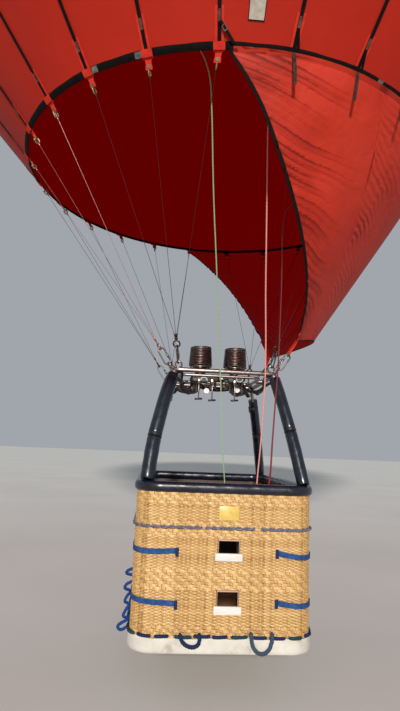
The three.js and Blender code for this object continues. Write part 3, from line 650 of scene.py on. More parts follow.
# A darker copy of the cane, painted shade on the basket's inner face; the next is the dark backing, painted
# shade behind the strands.
SHADED_INNER_CANE = varnished_cane("Cane, inner face, painted shade", [(0.2, "#2E1E10"), (0.8, "#6A4A28")])
CORE = varnished_cane("Cane in shade", [(0.2, "#1E1208"), (0.8, "#3A2612")])
SILL = grained_wood("Painted ash board", "#C2BCB6", "#DCD8D4")
BINDING = grained_wood("Split cane binding", "#A5826A", "#BFA08A")
BIRCH = grained_wood("Birch plywood", "#8A6A40", "#B08C5A")
ALUMINIUM = brushed_metal("Spun aluminium", "#A8ABAE", "#D2D4D6", 0.38)
PLATE = moulded_plastic("Yellow acrylic plate", "#C4A54C", "#D0B65E")
WHITE = moulded_plastic("White enamel dial", "#DAD8D2", "#F0EEE8", 0.3)
BLACK_PLASTIC = moulded_plastic("Black nylon fitting", "#0C0C0E", "#1A1A1D", 0.4)
NAVY_ROPE = laid_fibre("Navy laid rope", "#101C38", "#1E3058")
SLATE_ROPE = laid_fibre("Slate laid rope", "#26343F", "#42566A")
BLUE_ROPE = laid_fibre("Blue laid rope", "#102A5E", "#20488E")
TEAL_ROPE = laid_fibre("Teal laid rope", "#10242C", "#24485A")
PLAIT = laid_fibre("Twisted purple-grey cord", "#34344A", "#84828E", 160.0)
GREEN_LINE = flecked_line("Green and white braided line", "#A4B292", "#3C8A50")
PINK_LINE = flecked_line("Pink and white braided line", "#D8A098", "#C0605A")
RED_LINE = flecked_line("Dark red braided line", "#5A1014", "#8A1C22")
LABEL = polyester_webbing("Bare cloth patch", "#A59E90", "#C2BBAE")


# Envelope

CONE_SHARE, CIRCLE_SHARE = 0.34, 0.26
CONE_RISE = (EQUATOR_RADIUS * cos(CONE) - MOUTH_RADIUS) / tan(CONE)
GORE_BULGE = 0.07
CLOTH_THICK = 0.003


def profile(share):
    """Radius and height of the envelope's outside, from the mouth (0) up to the crown opening (1)."""
    if share <= CONE_SHARE:
        run = share / CONE_SHARE * CONE_RISE
        return MOUTH_RADIUS + run * tan(CONE), MOUTH_HEIGHT + run
    if share <= CONE_SHARE + CIRCLE_SHARE:
        angle = CONE * (1 - (share - CONE_SHARE) / CIRCLE_SHARE)
        return EQUATOR_RADIUS * cos(angle), EQUATOR_HEIGHT - EQUATOR_RADIUS * sin(angle)
    below = CONE_SHARE + CIRCLE_SHARE
    angle = acos(VENT_RADIUS / EQUATOR_RADIUS) * (share - below) / (1 - below)
    return EQUATOR_RADIUS * cos(angle), EQUATOR_HEIGHT + CROWN_RISE * sin(angle)


def on_envelope(tape, share, lift=0.0):
    """A point of the outside at a load tape's number, which may be a fraction, and a share of the way up."""
    radius, height = profile(share)
    (r0, z0), (r1, z1) = profile(max(share - 0.004, 0)), profile(min(share + 0.004, 1))
    out = Vector((z1 - z0, r0 - r1)).normalized()
    within = tape % 1 - 0.5
    radius *= cos(GORE_ANGLE / 2) / cos(within * GORE_ANGLE)
    # The share's offset leaves just the bulge at the mouth that makes it round
    lift += GORE_BULGE * radius * GORE_ANGLE * cos(PI * within) * sin(PI * (0.155 + 0.80 * share))
    return outward(tape) * (radius + out.x * lift) + UP * (height + out.y * lift)


def above_mouth(tape, rise, lift):
    """A point of the outside so far above the mouth."""
    return on_envelope(tape, rise / CONE_RISE * CONE_SHARE, lift)


def on_cone(tape, down, out):
    """A point below the mouth's edge along the cone, and out from it."""
    radius = MOUTH_RADIUS - sin(CONE) * down + cos(CONE) * out
    return outward(tape) * radius + UP * (MOUTH_HEIGHT - cos(CONE) * down - sin(CONE) * out)


def envelope_gores():
    """Twelve sewn pairs of gores, each pair one sheet of cloth that bulges between its load tapes."""
    columns, rows = 16, 118
    made = []
    for pair in range(GORES // 2):
        def place(across, up, first=-2 * pair):
            tape = first - 2 * across
            return on_envelope(tape - 1e-9 if across < 1 else tape + 1e-9, up)
        sheet = facing(surface(columns, rows, place), on_cone(-2 * pair - 1, 0, 1) - UP * (MOUTH_HEIGHT + 9))
        number = f"{pair + 1:02d}"
        thicken(sheet, CLOTH_THICK, NYLON)
        made.append(settle(sheet, f"gores_{number}", NYLON,
                           stands_for=[f"gore_pair_{number}"], smooth=60))
    return made


def load_tapes():
    """Flat webbing on each seam, from the mouth hem over the crown opening to the crown ring."""
    strips = []
    ring_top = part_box("crown_ring")[1].z - UNDERSIDE
    for tape in range(GORES):
        line = [on_envelope(tape, share, 0.007) for share in shares(90)]
        inner = outward(tape) * 0.2 + UP * (ring_top - 0.014)
        line += [line[-1].lerp(inner, share) for share in shares(6)[1:]]
        strips.append(band(line, along_hem(tape), 0.025, 0.003))
    settle(joined(strips), "load_tapes", BLACK_TAPE)


def crown_ring():
    """The forged ring on which all load tapes end, with their sewn turn-backs."""
    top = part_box("crown_ring")[1].z - UNDERSIDE
    turn_back = [(0.50, -0.075), (0.28, -0.022), (0.222, -0.002), (0.199, 0.0015), (0.180, -0.014)]
    parts = [hoop(UP * (top - 0.016), 0.199, 0.016, 12, 72)]
    for tape in range(GORES):
        line = [outward(tape) * reach + UP * (top + rise) for reach, rise in turn_back]
        parts.append(band(line, along_hem(tape), 0.044, 0.004))
    settle(joined(parts), "crown_ring_and_turn_backs", BLACK_TAPE, stands_for=["crown_ring"])


def parachute_cloth():
    """The round valve under the crown opening, one piece of cloth with a taped edge."""
    low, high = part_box("parachute_valve")
    top, edge_height, radius, dome = high.z - UNDERSIDE, low.z - UNDERSIDE + 0.010, 2.68, 0.1
    knee = top - dome

    def place(turn, out):
        reach = radius * out
        inside = reach < VENT_RADIUS
        rise = 1 - (reach / VENT_RADIUS) ** 2 if inside else 0.0
        drop = 0.0 if inside else (knee - edge_height) * (reach - VENT_RADIUS) / (radius - VENT_RADIUS)
        quilt = 0.012 * abs(sin(GORES * PI * turn)) * min(1, reach) * (rise > 0)
        reach *= cos(GORE_ANGLE / 2) / cos(((turn * GORES) % 1 - 0.5) * GORE_ANGLE)
        return outward(turn * GORES) * reach + UP * (knee - drop + dome * rise - quilt)

    sheet = facing(edit(surface(96, 24, place), weld), UP)
    thicken(sheet, CLOTH_THICK, NYLON)
    cloth = settle(sheet, "crown_valve_cloth", NYLON, "parachute", ["parachute_valve"], 60)
    edge = hoop(UP * (edge_height - 0.004), radius - 0.005, 0.006, 6, 96)
    settle(edge, "crown_valve_edge_tape", BLACK_TAPE, "parachute")


def mouth_hem():
    """Black tape folded over the lower edge of the gores."""
    half, thick = HEM_DEPTH / 2 + 0.004, 0.008

    def place(turn, section):
        out, down = squared(2 * PI * section, 0.7)
        return on_cone(turn * GORES - 1e-9, half - 0.004 + half * down, thick * out - 0.002)

    hem = surface(GORES * 8, 12, place, closed=True)
    settle(hem, "mouth_hem_tape", BLACK_TAPE, stands_for=["mouth_hem"])


PATCHES = [
    # load tape's number, its side of the tape
    (1, 0.13), (2, -0.14), (-2, -0.45), (5, 0.13), (7, 0.12), (-5, 0.1), (-8, -0.1),
]
PATCH_SIZE = 0.048
STITCHED_FROM, STITCHED_TO = 0.085, 0.135
RED_STRIP_WIDTH, RED_STRIP_TO = 0.060, 0.150


def along_hem(tape):
    """The way along the hem at a load tape, to the left as seen from outside."""
    return outward(tape).cross(UP)


def hem_patches():
    """Short stitched overlaps on the hem, and the load tapes' sewn ends above it on wider red strips."""
    patches, sewn, strips = [], [], []
    for tape, aside in PATCHES:
        line = [on_cone(tape + aside, HEM_DEPTH - 0.001 - (HEM_DEPTH - 0.004) * share, 0.009)
                for share in shares(3)]
        patches.append(band(line, along_hem(tape + aside), PATCH_SIZE, 0.003))
    for tape in range(GORES):
        line = [above_mouth(tape, STITCHED_FROM + (STITCHED_TO - STITCHED_FROM) * share, 0.0095)
                for share in shares(6)]
        sewn.append(band(line, along_hem(tape), 0.019, 0.002))
        line = [above_mouth(tape, RED_STRIP_TO * share, 0.0045) for share in shares(8)]
        strips.append(band(line, along_hem(tape), RED_STRIP_WIDTH, 0.002))
    settle(joined(patches), "hem_patches", PALE_PATCH)
    settle(joined(sewn), "tape_ends", GREY_TAPE)
    settle(joined(strips), "red_strips", RED_TAPE)


# Flying wires

WIRE_RADIUS = 0.0018
EYE_RADIUS, EYE_TUBE = 0.027, 0.007
LINK_RADIUS, LINK_TUBE, LINK_LENGTH = 0.027, 0.006, 0.150
LINK_GATE = [(0.0072, 0), (0.0092, 0.002), (0.0092, 0.044), (0.0072, 0.046)]
SEAT_GAP = 0.0003
TAB_LENGTH, TAB_WIDTH = 0.090, 0.078
TAB_SHAPE = (1, 1, 1, 1, 0.96, 0.60, 0.54, 0.50, 0.58, 0.62, 0.60)


def chain_runs(corner, chain):
    """A chain's eye, link and ring, where its wires start, its pull, its way out, its load tapes' feet."""
    _, side_x, side_y, first_tape = corner
    _, turn, first = chain
    azimuth = (first_tape + 3) * GORE_ANGLE + radians(turn)
    out = Vector((-sin(azimuth), -cos(azimuth), 0))
    half_x, half_y = FRAME_HALF_X - FRAME_CORNER, FRAME_HALF_Y - FRAME_CORNER
    anchor = Vector((side_x * half_x, side_y * half_y, FRAME_HEIGHT)) + out * FRAME_CORNER
    feet = [on_cone(first_tape + first + i - 1e-9, HEM_DEPTH - 0.012, -0.005) for i in range(3)]
    pull = (sum(feet, Vector()) / 3 - anchor).normalized()
    eye = anchor + pull * (FRAME_TUBE + EYE_RADIUS - 0.002)
    link_low = eye + pull * (EYE_RADIUS - EYE_TUBE - LINK_TUBE - SEAT_GAP)
    link = link_low + pull * (LINK_LENGTH / 2)
    ring = link_low + pull * (LINK_LENGTH - 2 * LINK_TUBE - SEAT_GAP + LINK_RADIUS)
    return eye, link, ring, ring + pull * LINK_RADIUS, pull, out, feet


def wire_end(start, foot):
    """Where a wire meets its tab's thimble."""
    return foot + (start - foot).normalized() * TAB_LENGTH


def all_chains():
    return [(corner, chain) for corner in CORNERS for chain in CHAINS]


def flying_wires():
    """Eight chains, each a karabiner and a ring that hold three wires to the load tapes."""
    for corner, chain in all_chains():
        _, link, ring, start, pull, out, feet = chain_runs(corner, chain)
        label = f"{corner[0]}_{chain[0]}"
        side = pull.cross(Vector((-out.y, out.x, 0))).normalized()
        across = side.cross(pull).normalized()
        body = chain_link(link, side, pull, LINK_RADIUS, LINK_LENGTH / 2, LINK_RADIUS, LINK_TUBE)
        gate_foot, gate_head = (link + side * LINK_RADIUS + pull * way for way in (-0.034, 0.012))
        gate = turned(LINK_GATE, gate_foot, gate_head, 16)
        settle(joined([body, gate]), f"karabiner_and_gate_{label}", SHADED_LINK_STEEL,
               stands_for=[f"karabiner_{label}"])
        parts = [chain_link(ring, across, pull, LINK_RADIUS, LINK_RADIUS, LINK_RADIUS, LINK_TUBE)]
        wires, shackles = [], []
        for foot in feet:
            run = (foot - start).normalized()
            end = wire_end(start, foot)
            wires.append([start - run * 0.004, end + run * 0.006])
            parts.append(rod(start + run * 0.030, start + run * 0.062, 0.0048, 10))
            parts.append(rod(end - run * 0.070, end - run * 0.040, 0.0048, 10))
            eye = [start + run * (0.018 - 0.014 * cos(angle)) + across * 0.009 * sin(angle)
                   for angle in (2 * PI * i / 12 for i in range(12))]
            parts.append(pipes([eye], WIRE_RADIUS, closed=True, sides=6))
            side = run.cross(foot.cross(UP)).normalized()
            shackles.append(chain_link(end - run * 0.020, side, run, 0.016, 0.021, 0.012, 0.0055, 8, 4))
            shackles.append(rod(end - side * 0.022, end + side * 0.022, 0.0060, 10))
        parts.append(pipes(wires, WIRE_RADIUS, sides=6))
        # The near left corner's second chain gets the copy with the painted highlight.
        sunlit = corner[0] == "near_left" and chain == CHAINS[-1]
        settle(joined(parts), f"wires_and_ring_{label}", SUNLIT_WIRE if sunlit else SHADED_WIRE_STEEL,
               stands_for=[f"flying_wires_{label}"])
        settle(joined(shackles), f"shackles_{label}", THIMBLE)


def wire_tabs():
    """Webbing tabs from the hem down to each wire's thimble, wide on the hem and narrow at the wire."""
    red, black, plates = [], [], []
    for corner, chain in all_chains():
        *_, start, _, _, feet = chain_runs(corner, chain)
        for i, foot in enumerate(feet):
            tape = corner[3] + chain[2] + i
            end = wire_end(start, foot)
            way, run = along_hem(tape), (end - foot).normalized()
            line = [on_cone(tape, -0.002, 0.011), on_cone(tape, HEM_DEPTH * 0.5, 0.0115),
                    on_cone(tape, HEM_DEPTH, 0.010)]
            line += [foot.lerp(end, share) for share in (0.14, 0.26, 0.34, 0.50, 0.62, 0.70, 0.86, 1.0)]
            strip = band(line, way, lambda share: TAB_WIDTH * TAB_SHAPE[round(share * 10)], 0.005)
            plates.append(band([end - run * 0.034, end - run * 0.010], way, 0.024, 0.011))
            (red if tape < GORES / 2 else black).append(strip)
    settle(joined(red), "wire_tabs_red", RED_TAPE)
    settle(joined(black), "wire_tabs_black", BLACK_TAPE)
    settle(joined(plates), "thimble_plates", THIMBLE)


# Burner frame, gimbal and carrier


def frame_corner(side_x, side_y):
    """The middle of the frame's bend at a corner."""
    inset = FRAME_CORNER * (1 - sqrt(0.5))
    return Vector((side_x * (FRAME_HALF_X - inset), side_y * (FRAME_HALF_Y - inset), FRAME_HEIGHT))


def rim_foot(side_x, side_y):
    """Where an upright stands on the rim roll."""
    inset = WALL_CORNER - (WALL_CORNER - RIM_WIDTH / 2 + RIM_OVERHANG) * sqrt(0.5)
    return Vector((side_x * (SIDE_DEPTH - inset), side_y * (NEAR_DEPTH - inset), RIM_TOP))


def upright_line(side_x, side_y):
    """An upright's foot on the rim, its top in the frame, its length and its lean."""
    foot, top = rim_foot(side_x, side_y), frame_corner(side_x, side_y)
    return foot, top, (top - foot).length, (top - foot).normalized()


def burner_frame():
    """The welded outer frame with a socket and two eyes at each corner and the gimbal's bosses."""
    centre = UP * FRAME_HEIGHT
    parts = [chain_link(centre, EAST, AWAY, FRAME_HALF_X, FRAME_HALF_Y, FRAME_CORNER, FRAME_TUBE, 20, 10)]
    boss = [(0.0160, 0), (BOSS_RADIUS, 0.002), (BOSS_RADIUS, 0.030), (0.0215, 0.036), (0.0215, 0.050),
            (BOSS_RADIUS, 0.057)]
    for side in (-1, 1):
        parts.append(turned(boss, centre + EAST * side * 0.373, centre + EAST * side * FRAME_HALF_X))
    for corner in CORNERS:
        _, top, _, lean = upright_line(*corner[1:3])
        parts.append(turned([(0.0225, 0), (0.024, 0.002), (0.024, 0.040), (0.0225, 0.044)],
                            top - lean * 0.048, top - lean * 0.004))
    for corner, chain in all_chains():
        eye, _, _, _, pull, out, _ = chain_runs(corner, chain)
        across = Vector((-out.y, out.x, 0))
        across = (across - pull * across.dot(pull)).normalized()
        parts.append(chain_link(eye, across, pull, EYE_RADIUS, EYE_RADIUS, EYE_RADIUS, EYE_TUBE))
    settle(joined(parts), "outer_frame_welded", STEEL, stands_for=["burner_frame"])


def gimbal():
    """The frame that tilts in the outer one, with its two pins and nuts, and the carrier's bosses."""
    centre = UP * FRAME_HEIGHT
    parts = [chain_link(centre, EAST, AWAY, GIMBAL_HALF_X, GIMBAL_HALF_Y, GIMBAL_CORNER, GIMBAL_TUBE, 16, 10)]
    boss = [(0.016, 0), (BOSS_RADIUS, 0.002), (BOSS_RADIUS, 0.034), (0.016, 0.036)]
    nut = [(0.0155, 0), (0.0155, 0.012)]
    low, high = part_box("gimbal_frame")
    for side, reach in ((-1, -low.x), (1, high.x)):
        right, away = EAST * side, AWAY * side
        parts.append(rod(centre + right * GIMBAL_HALF_X, centre + right * reach, PIN_RADIUS))
        parts.append(turned(nut, centre + right * 0.358, centre + right * 0.370, 6))
        parts.append(turned(boss, centre + away * 0.214, centre + away * 0.250))
    settle(joined(parts), "gimbal_welded", STEEL, "gimbal", ["gimbal_frame"])


def carrier():
    """The bar frame that the burners hang in, its two pins, and the bolted clamp between the burners."""
    centre = UP * FRAME_HEIGHT
    parts = [chain_link(centre, EAST, AWAY, CARRIER_HALF, CARRIER_BAR_Y, 0.020, CARRIER_TUBE, 12, 6)]
    low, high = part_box("burner_carrier")
    for side, reach in ((-1, -low.y), (1, high.y)):
        away = AWAY * side
        parts.append(rod(centre + away * CARRIER_BAR_Y, centre + away * reach, PIN_RADIUS))
        parts.append(turned([(0.015, 0), (0.015, 0.014)], centre + away * 0.190, centre + away * 0.204, 6))
    bolt = [(0.0085, 0), (0.0105, 0.002), (0.0105, 0.010), (0.007, 0.013)]
    for x in (-0.045, 0.0, 0.045):
        for rise in (-0.010, 0.020):
            foot = centre + EAST * x + UP * rise - AWAY * (CARRIER_BAR_Y + 0.008)
            parts.append(turned(bolt, foot, foot - AWAY * 0.013, 6))
    parts.append(block(centre - AWAY * CARRIER_BAR_Y + UP * 0.006, (0.120, 0.014, 0.060), 0.003))
    settle(joined(parts), "carrier_and_clamp", DARK_STEEL, "burner", ["burner_carrier"])


# Burners


def burner_coil(name, side):
    """Twelve turns of fuel pipe wound into a can, on four posts, with the jet ring inside."""
    foot = Vector((side * BURNER_X, 0, CAN_BOTTOM))
    tube = CAN_HEIGHT / CAN_TURNS / 2 * 0.86
    helix = [foot + polar(2 * PI * CAN_TURNS * share, CAN_RADIUS - tube - 0.012 * share,
                          tube + share * (CAN_HEIGHT - 2 * tube)) for share in shares(CAN_TURNS * 28)]
    coil = [pipes([helix], tube, sides=8)]
    hub, flange, ring = foot - UP * 0.004, foot - UP * 0.006, foot + UP * 0.035
    cone = [(0.044, 0), (0.046, 0.003), (0.046, 0.010), (0.020, 0.016), (0.018, 0.060), (0.012, 0.070)]
    jets = [hoop(ring, 0.045, 0.006, 8, 32), turned(cone, hub), hoop(flange, 0.092, 0.0048, 8, 40)]
    for i in range(12):
        jet = foot + polar(2 * PI * i / 12, 0.045, 0.038)
        jets.append(rod(jet, jet + UP * 0.010, 0.0035, 8))
    for quarter in range(4):
        way, arm = polar((quarter + 0.5) * PI / 2), polar(quarter * PI / 2 + 0.4)
        post = foot + way * 0.087 - UP * 0.002
        coil.append(rod(post, post + UP * CAN_HEIGHT, 0.004, 8))
        jets.append(rod(hub + arm * 0.014 + UP * 0.040, ring + arm * 0.045, 0.004, 8))
        jets.append(rod(hub + way * 0.040 + UP * 0.004, flange + way * 0.092, 0.0045, 8))
    settle(joined(coil), f"coil_{name}", COIL, "burner", [f"burner_can_{name}"])
    settle(joined(jets), f"jets_{name}", BRASS, "burner")


def valve_block(name, side):
    """The machined block under each can, with the can's neck, the lower boss and the fuel inlet."""
    centre = EAST * side * BURNER_X
    inlet = centre + Vector((side * 0.040, 0, 1.996))
    depth = 2 * (CARRIER_BAR_Y - CARRIER_TUBE - SEAT_GAP)
    parts = [
        block(centre + UP * 2.026, (0.112, depth, 0.072), 0.006),
        turned([(0.050, 0), (0.052, 0.004), (0.052, 0.018), (0.046, 0.022), (0.046, 0.074), (0.050, 0.076),
                (0.050, 0.0795)], centre + UP * 2.062, sides=32),
        turned([(0.024, 0), (0.030, 0.006), (0.030, 0.040)], centre + UP * 1.960),
        turned([(0.013, 0), (0.013, 0.020), (0.0165, 0.022), (0.0165, 0.036), (0.013, 0.038), (0.013, 0.048)],
               inlet, inlet + EAST * side, 6),
    ]
    settle(joined(parts), f"valve_body_{name}", DARK_STEEL, "burner", [f"valve_block_{name}"])


PORTS = [
    # x, height, rim radius, bore radius, whether its rim is bright
    (-0.132, 2.003, 0.0370, 0.0210, True),
    (0.190, 2.034, 0.0370, 0.0210, True),
    (-0.208, 2.012, 0.0280, 0.0190, False),
    (0.115, 2.028, 0.0280, 0.0190, False),
]


def burner_ports():
    """Round jet ports and nuts on the near face of the blocks, with bright rims and dark bores."""
    face = -(CARRIER_BAR_Y + CARRIER_TUBE + 0.001) - 0.016
    bright_rims, dull_rims, bores = [], [], []
    for x, height, radius, bore, bright in PORTS:
        start, end = Vector((x, -0.078, height)), Vector((x, face, height))
        length = (end - start).length
        rim = [(radius * 0.9, 0), (radius * 0.9, length - 0.012), (radius, length - 0.010),
               (radius, length - 0.002), (radius - 0.002, length), (bore + 0.002, length),
               (bore, length - 0.003), (bore, length - 0.020)]
        (bright_rims if bright else dull_rims).append(turned(rim, start, end, 32))
        bores.append(turned([(bore * 0.99, 0), (bore * 0.99, 0.003)], end + AWAY * 0.016, end + AWAY * 0.013))
    clip = block((0.019, -0.1235, 2.030), (0.036, 0.010, 0.022), 0.003)
    settle(joined(bright_rims), "port_rims", SHADED_LINK_STEEL, "burner")
    settle(joined(dull_rims), "port_rims_tarnished", DARK_STEEL, "burner")
    settle(clip, "white_clip", WHITE, "burner")
    settle(joined(bores), "port_bores", BLACK_PLASTIC, "burner")


GAUGES = [
    # dial's x, its height, x of its stem's head
    (-0.100, 1.917, -0.114),
    (0.180, 1.939, 0.180),
]
LEVERS = [
    # x, height of its grip
    (-0.174, 1.835),
    (-0.053, 1.827),
    (0.151, 1.834),
]
NIPPLES = [
    # x, low end, high end, radius
    (-0.222, 1.905, 1.994, 0.0110),
    (-0.190, 1.900, 1.994, 0.0140),
    (-0.060, 1.930, 2.006, 0.0160),
    (-0.025, 1.936, 2.006, 0.0130),
    (0.035, 1.936, 2.006, 0.0160),
    (0.070, 1.930, 2.006, 0.0130),
    (0.112, 1.905, 1.994, 0.0120),
    (0.222, 1.900, 1.994, 0.0140),
]
GAUGE_FACE_Y, GAUGE_STEM_Y, LEVER_Y, NIPPLE_Y = -0.050, -0.040, -0.102, -0.074


def dial_gauge(x, height, head_x):
    """A round pressure gauge: its case and stem, its white dial, its needle and ticks."""
    face = Vector((x, GAUGE_FACE_Y, height))
    print_face = face + AWAY * 0.0008
    rim = [(0.024, 0), (0.026, 0.002), (0.026, 0.018), (0.025, 0.020), (0.0225, 0.020), (0.0225, 0.018)]
    case = [rod((x, GAUGE_STEM_Y, height), (head_x, GAUGE_STEM_Y, 1.996), 0.008, 12),
            turned(rim, face + AWAY * 0.020, face, 32)]
    dial = turned([(0.0222, 0), (0.0222, 0.0015)], face + AWAY * 0.0025, face, 32)
    marks = [rod(print_face, print_face + Vector((0.012, 0, 0.012)), 0.0012, 6),
             rod(face + AWAY * 0.0012, face - AWAY * 0.0012, 0.003, 10)]
    for tick in range(9):
        angle = radians(-135 + tick * 33.75)
        way = Vector((sin(angle), 0, cos(angle)))
        marks.append(rod(print_face + way * 0.0165, print_face + way * 0.0205, 0.0009, 4))
    return case, dial, marks


def gauges_and_levers():
    """Under each burner: a gauge, blast levers with crosswise grips, and a row of nipples and nuts."""
    metal, dials, black, nipples = [], [], [], []
    for gauge in GAUGES:
        case, dial, marks = dial_gauge(*gauge)
        metal += case
        dials.append(dial)
        black += marks
    for x, height in LEVERS:
        metal.append(rod((x, LEVER_Y, height + 0.006), (x, LEVER_Y, 1.990), 0.006, 10))
        metal.append(block((x, LEVER_Y + 0.003, 1.998), (0.026, 0.020, 0.044), 0.003))
        grip_ends = (x - 0.034, LEVER_Y - 0.002, height), (x + 0.034, LEVER_Y + 0.002, height + 0.006)
        black.append(rod(*grip_ends, 0.0085, 12, 0.004))
    for x, low, high, radius in NIPPLES:
        body = [(radius * 0.55, 0), (radius * 0.7, 0.004), (radius * 0.7, 0.016), (radius, 0.018),
                (radius, 0.042), (radius * 0.75, 0.044), (radius * 0.75, high - low)]
        nipples.append(turned(body, (x, NIPPLE_Y, low), (x, NIPPLE_Y, high), 6))
    settle(joined(metal), "gauge_cases_and_levers", STEEL, "burner")
    settle(joined(dials), "gauge_dials", WHITE, "burner")
    settle(joined(black), "needles_and_grips", BLACK_PLASTIC, "burner")
    settle(joined(nipples), "nipples", DARK_BRASS, "burner")


HOSE_KNOTS = [(0.350, -0.400, 1.930), (0.355, -0.300, 1.908), (0.345, -0.180, 1.900), (0.335, -0.060, 1.925),
              (0.310, -0.008, 1.976), (0.285, 0.0, 1.995), (0.264, 0.0, 1.996)]
LOW_HOSE_KNOTS = [(0.352, -0.440, 1.935), (0.330, -0.360, 1.912), (0.300, -0.270, 1.905),
                  (0.270, -0.190, 1.915), (0.248, -0.110, 1.945), (0.236, -0.070, 1.972), (0.228, -0.030, 1.988)]
FAR_HOSE_KNOTS = [
    # liquid feed, then the pilot's feed beside it
    [(0.350, -0.480, 1.975), (0.300, -0.440, 1.955), (0.240, -0.360, 1.938), (0.190, -0.270, 1.936),
     (0.165, -0.190, 1.948), (0.155, -0.130, 1.962), (0.150, -0.060, 1.975)],
    [(0.340, -0.455, 1.985), (0.280, -0.420, 1.972), (0.225, -0.350, 1.958), (0.200, -0.260, 1.955),
     (0.190, -0.180, 1.962), (0.185, -0.130, 1.972), (0.180, -0.060, 1.982)],
]
LINK_HOSE_KNOTS = [(-0.150, 0.060, 1.975), (-0.100, 0.085, 1.955), (0.0, 0.095, 1.948), (0.100, 0.085, 1.955),
                   (0.150, 0.060, 1.975)]
HOSE_RADIUS, LOW_HOSE_RADIUS, FAR_HOSE_RADIUS = 0.011, 0.012, 0.018


def hose(label, side, end, route, radius, replaced=()):
    """A braided hose from the top of an upright's sleeve to a burner, in two lengths joined by a swivel."""
    foot, _, length, lean = upright_line(side, end)
    sleeve_top = foot + lean * (length - 0.042)
    inwards = Vector((-side, -0.4 * end, 0)).normalized()
    knots = [Vector((side * x, -end * y, z)) for x, y, z in route]
    if replaced:
        start = sleeve_top - lean * 0.004 + inwards * 0.031
        lower = [start, start + lean * 0.018 + inwards * 0.002, start + lean * 0.024 + inwards * 0.040]
    else:
        start = sleeve_top - lean * 0.040 + inwards * 0.030
        lower = [start, start + inwards * 0.025 - lean * 0.004]
    for part, line, bodies, ends in (
        ("lower", [*lower, *knots[:3]], ("root", "gimbal"), (start, knots[1])),
        ("upper", knots[2:], ("gimbal", "burner"), (knots[2], knots[5])),
    ):
        tube = pipes([through(line)], radius, sides=10)
        settle(tube, f"hose_{part}_{label}", HOSE, None)
        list(bodies)
        up(ends[0])
        up(ends[1])
        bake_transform(tube)
    run = (knots[3] - knots[1]).normalized()
    rows = [(radius + 0.0015, 0), (radius + 0.0035, 0.004), (radius + 0.0035, 0.032), (radius + 0.0015, 0.036)]
    swivel = turned(rows, knots[2] - run * 0.018, knots[2] + run * 0.018, 12)
    settle(swivel, f"hose_swivel_{label}", DARK_STEEL, "gimbal", replaced)


def fuel_hoses(name, side):
    """Each burner's feeds from its near cylinder, and a pair from its far one under the frame's far bar."""
    hose(name, side, -1, HOSE_KNOTS, HOSE_RADIUS, [f"fuel_hose_{name}"])
    hose(f"low_{name}", side, -1, LOW_HOSE_KNOTS, LOW_HOSE_RADIUS)
    for number, route in enumerate(FAR_HOSE_KNOTS):
        hose(f"far_{number + 1}_{name}", side, 1, route, FAR_HOSE_RADIUS)
    if side > 0:
        link = pipes([through(LINK_HOSE_KNOTS)], FAR_HOSE_RADIUS, sides=10)
        settle(link, "link_hose", HOSE, "burner")


def up(point):
    """A point of the basket's frame in the part's frame."""
    return tuple(Vector(point) + UP * UNDERSIDE)


# Uprights

SLEEVE_ROWS = [(0.043, 0.002), (0.047, 0.020), (0.0455, 0.060), (0.047, 0.12), (0.0455, 0.20), (0.0475, 0.28),
               (0.046, 0.36), (0.047, 0.415), (0.0445, 0.434), (0.039, 0.446), (0.0385, 0.453), (0.039, 0.460),
               (0.0445, 0.470), (0.0465, 0.490)]
SLEEVE_JOINT = 0.453
SLEEVES = [
    # corner, how much fatter, its bend outwards, its joint's height, its upper end's depth below the frame
    ("near_left", 1.16, 0.040, 0.350, 0.042),
    ("far_left", 1.0, 0.012, 0.453, 0.042),
    ("far_right", 1.0, 0.012, 0.453, 0.125),
    ("near_right", 1.03, 0.014, 0.440, 0.042),
]


def cuff(corner, face, way):
    """A dark strap round a sleeve, with a bracket for the hose clip."""
    foot, _, _, lean = upright_line(*corner[1:3])
    spot = foot + lean * way
    ring = turned([(0.046, 0), (0.050, 0.004), (0.050, 0.056), (0.046, 0.060)], spot - lean * 0.030, spot, 28)
    return [ring, block(spot + face * 0.062, (0.024, 0.018, 0.040), 0.003)]


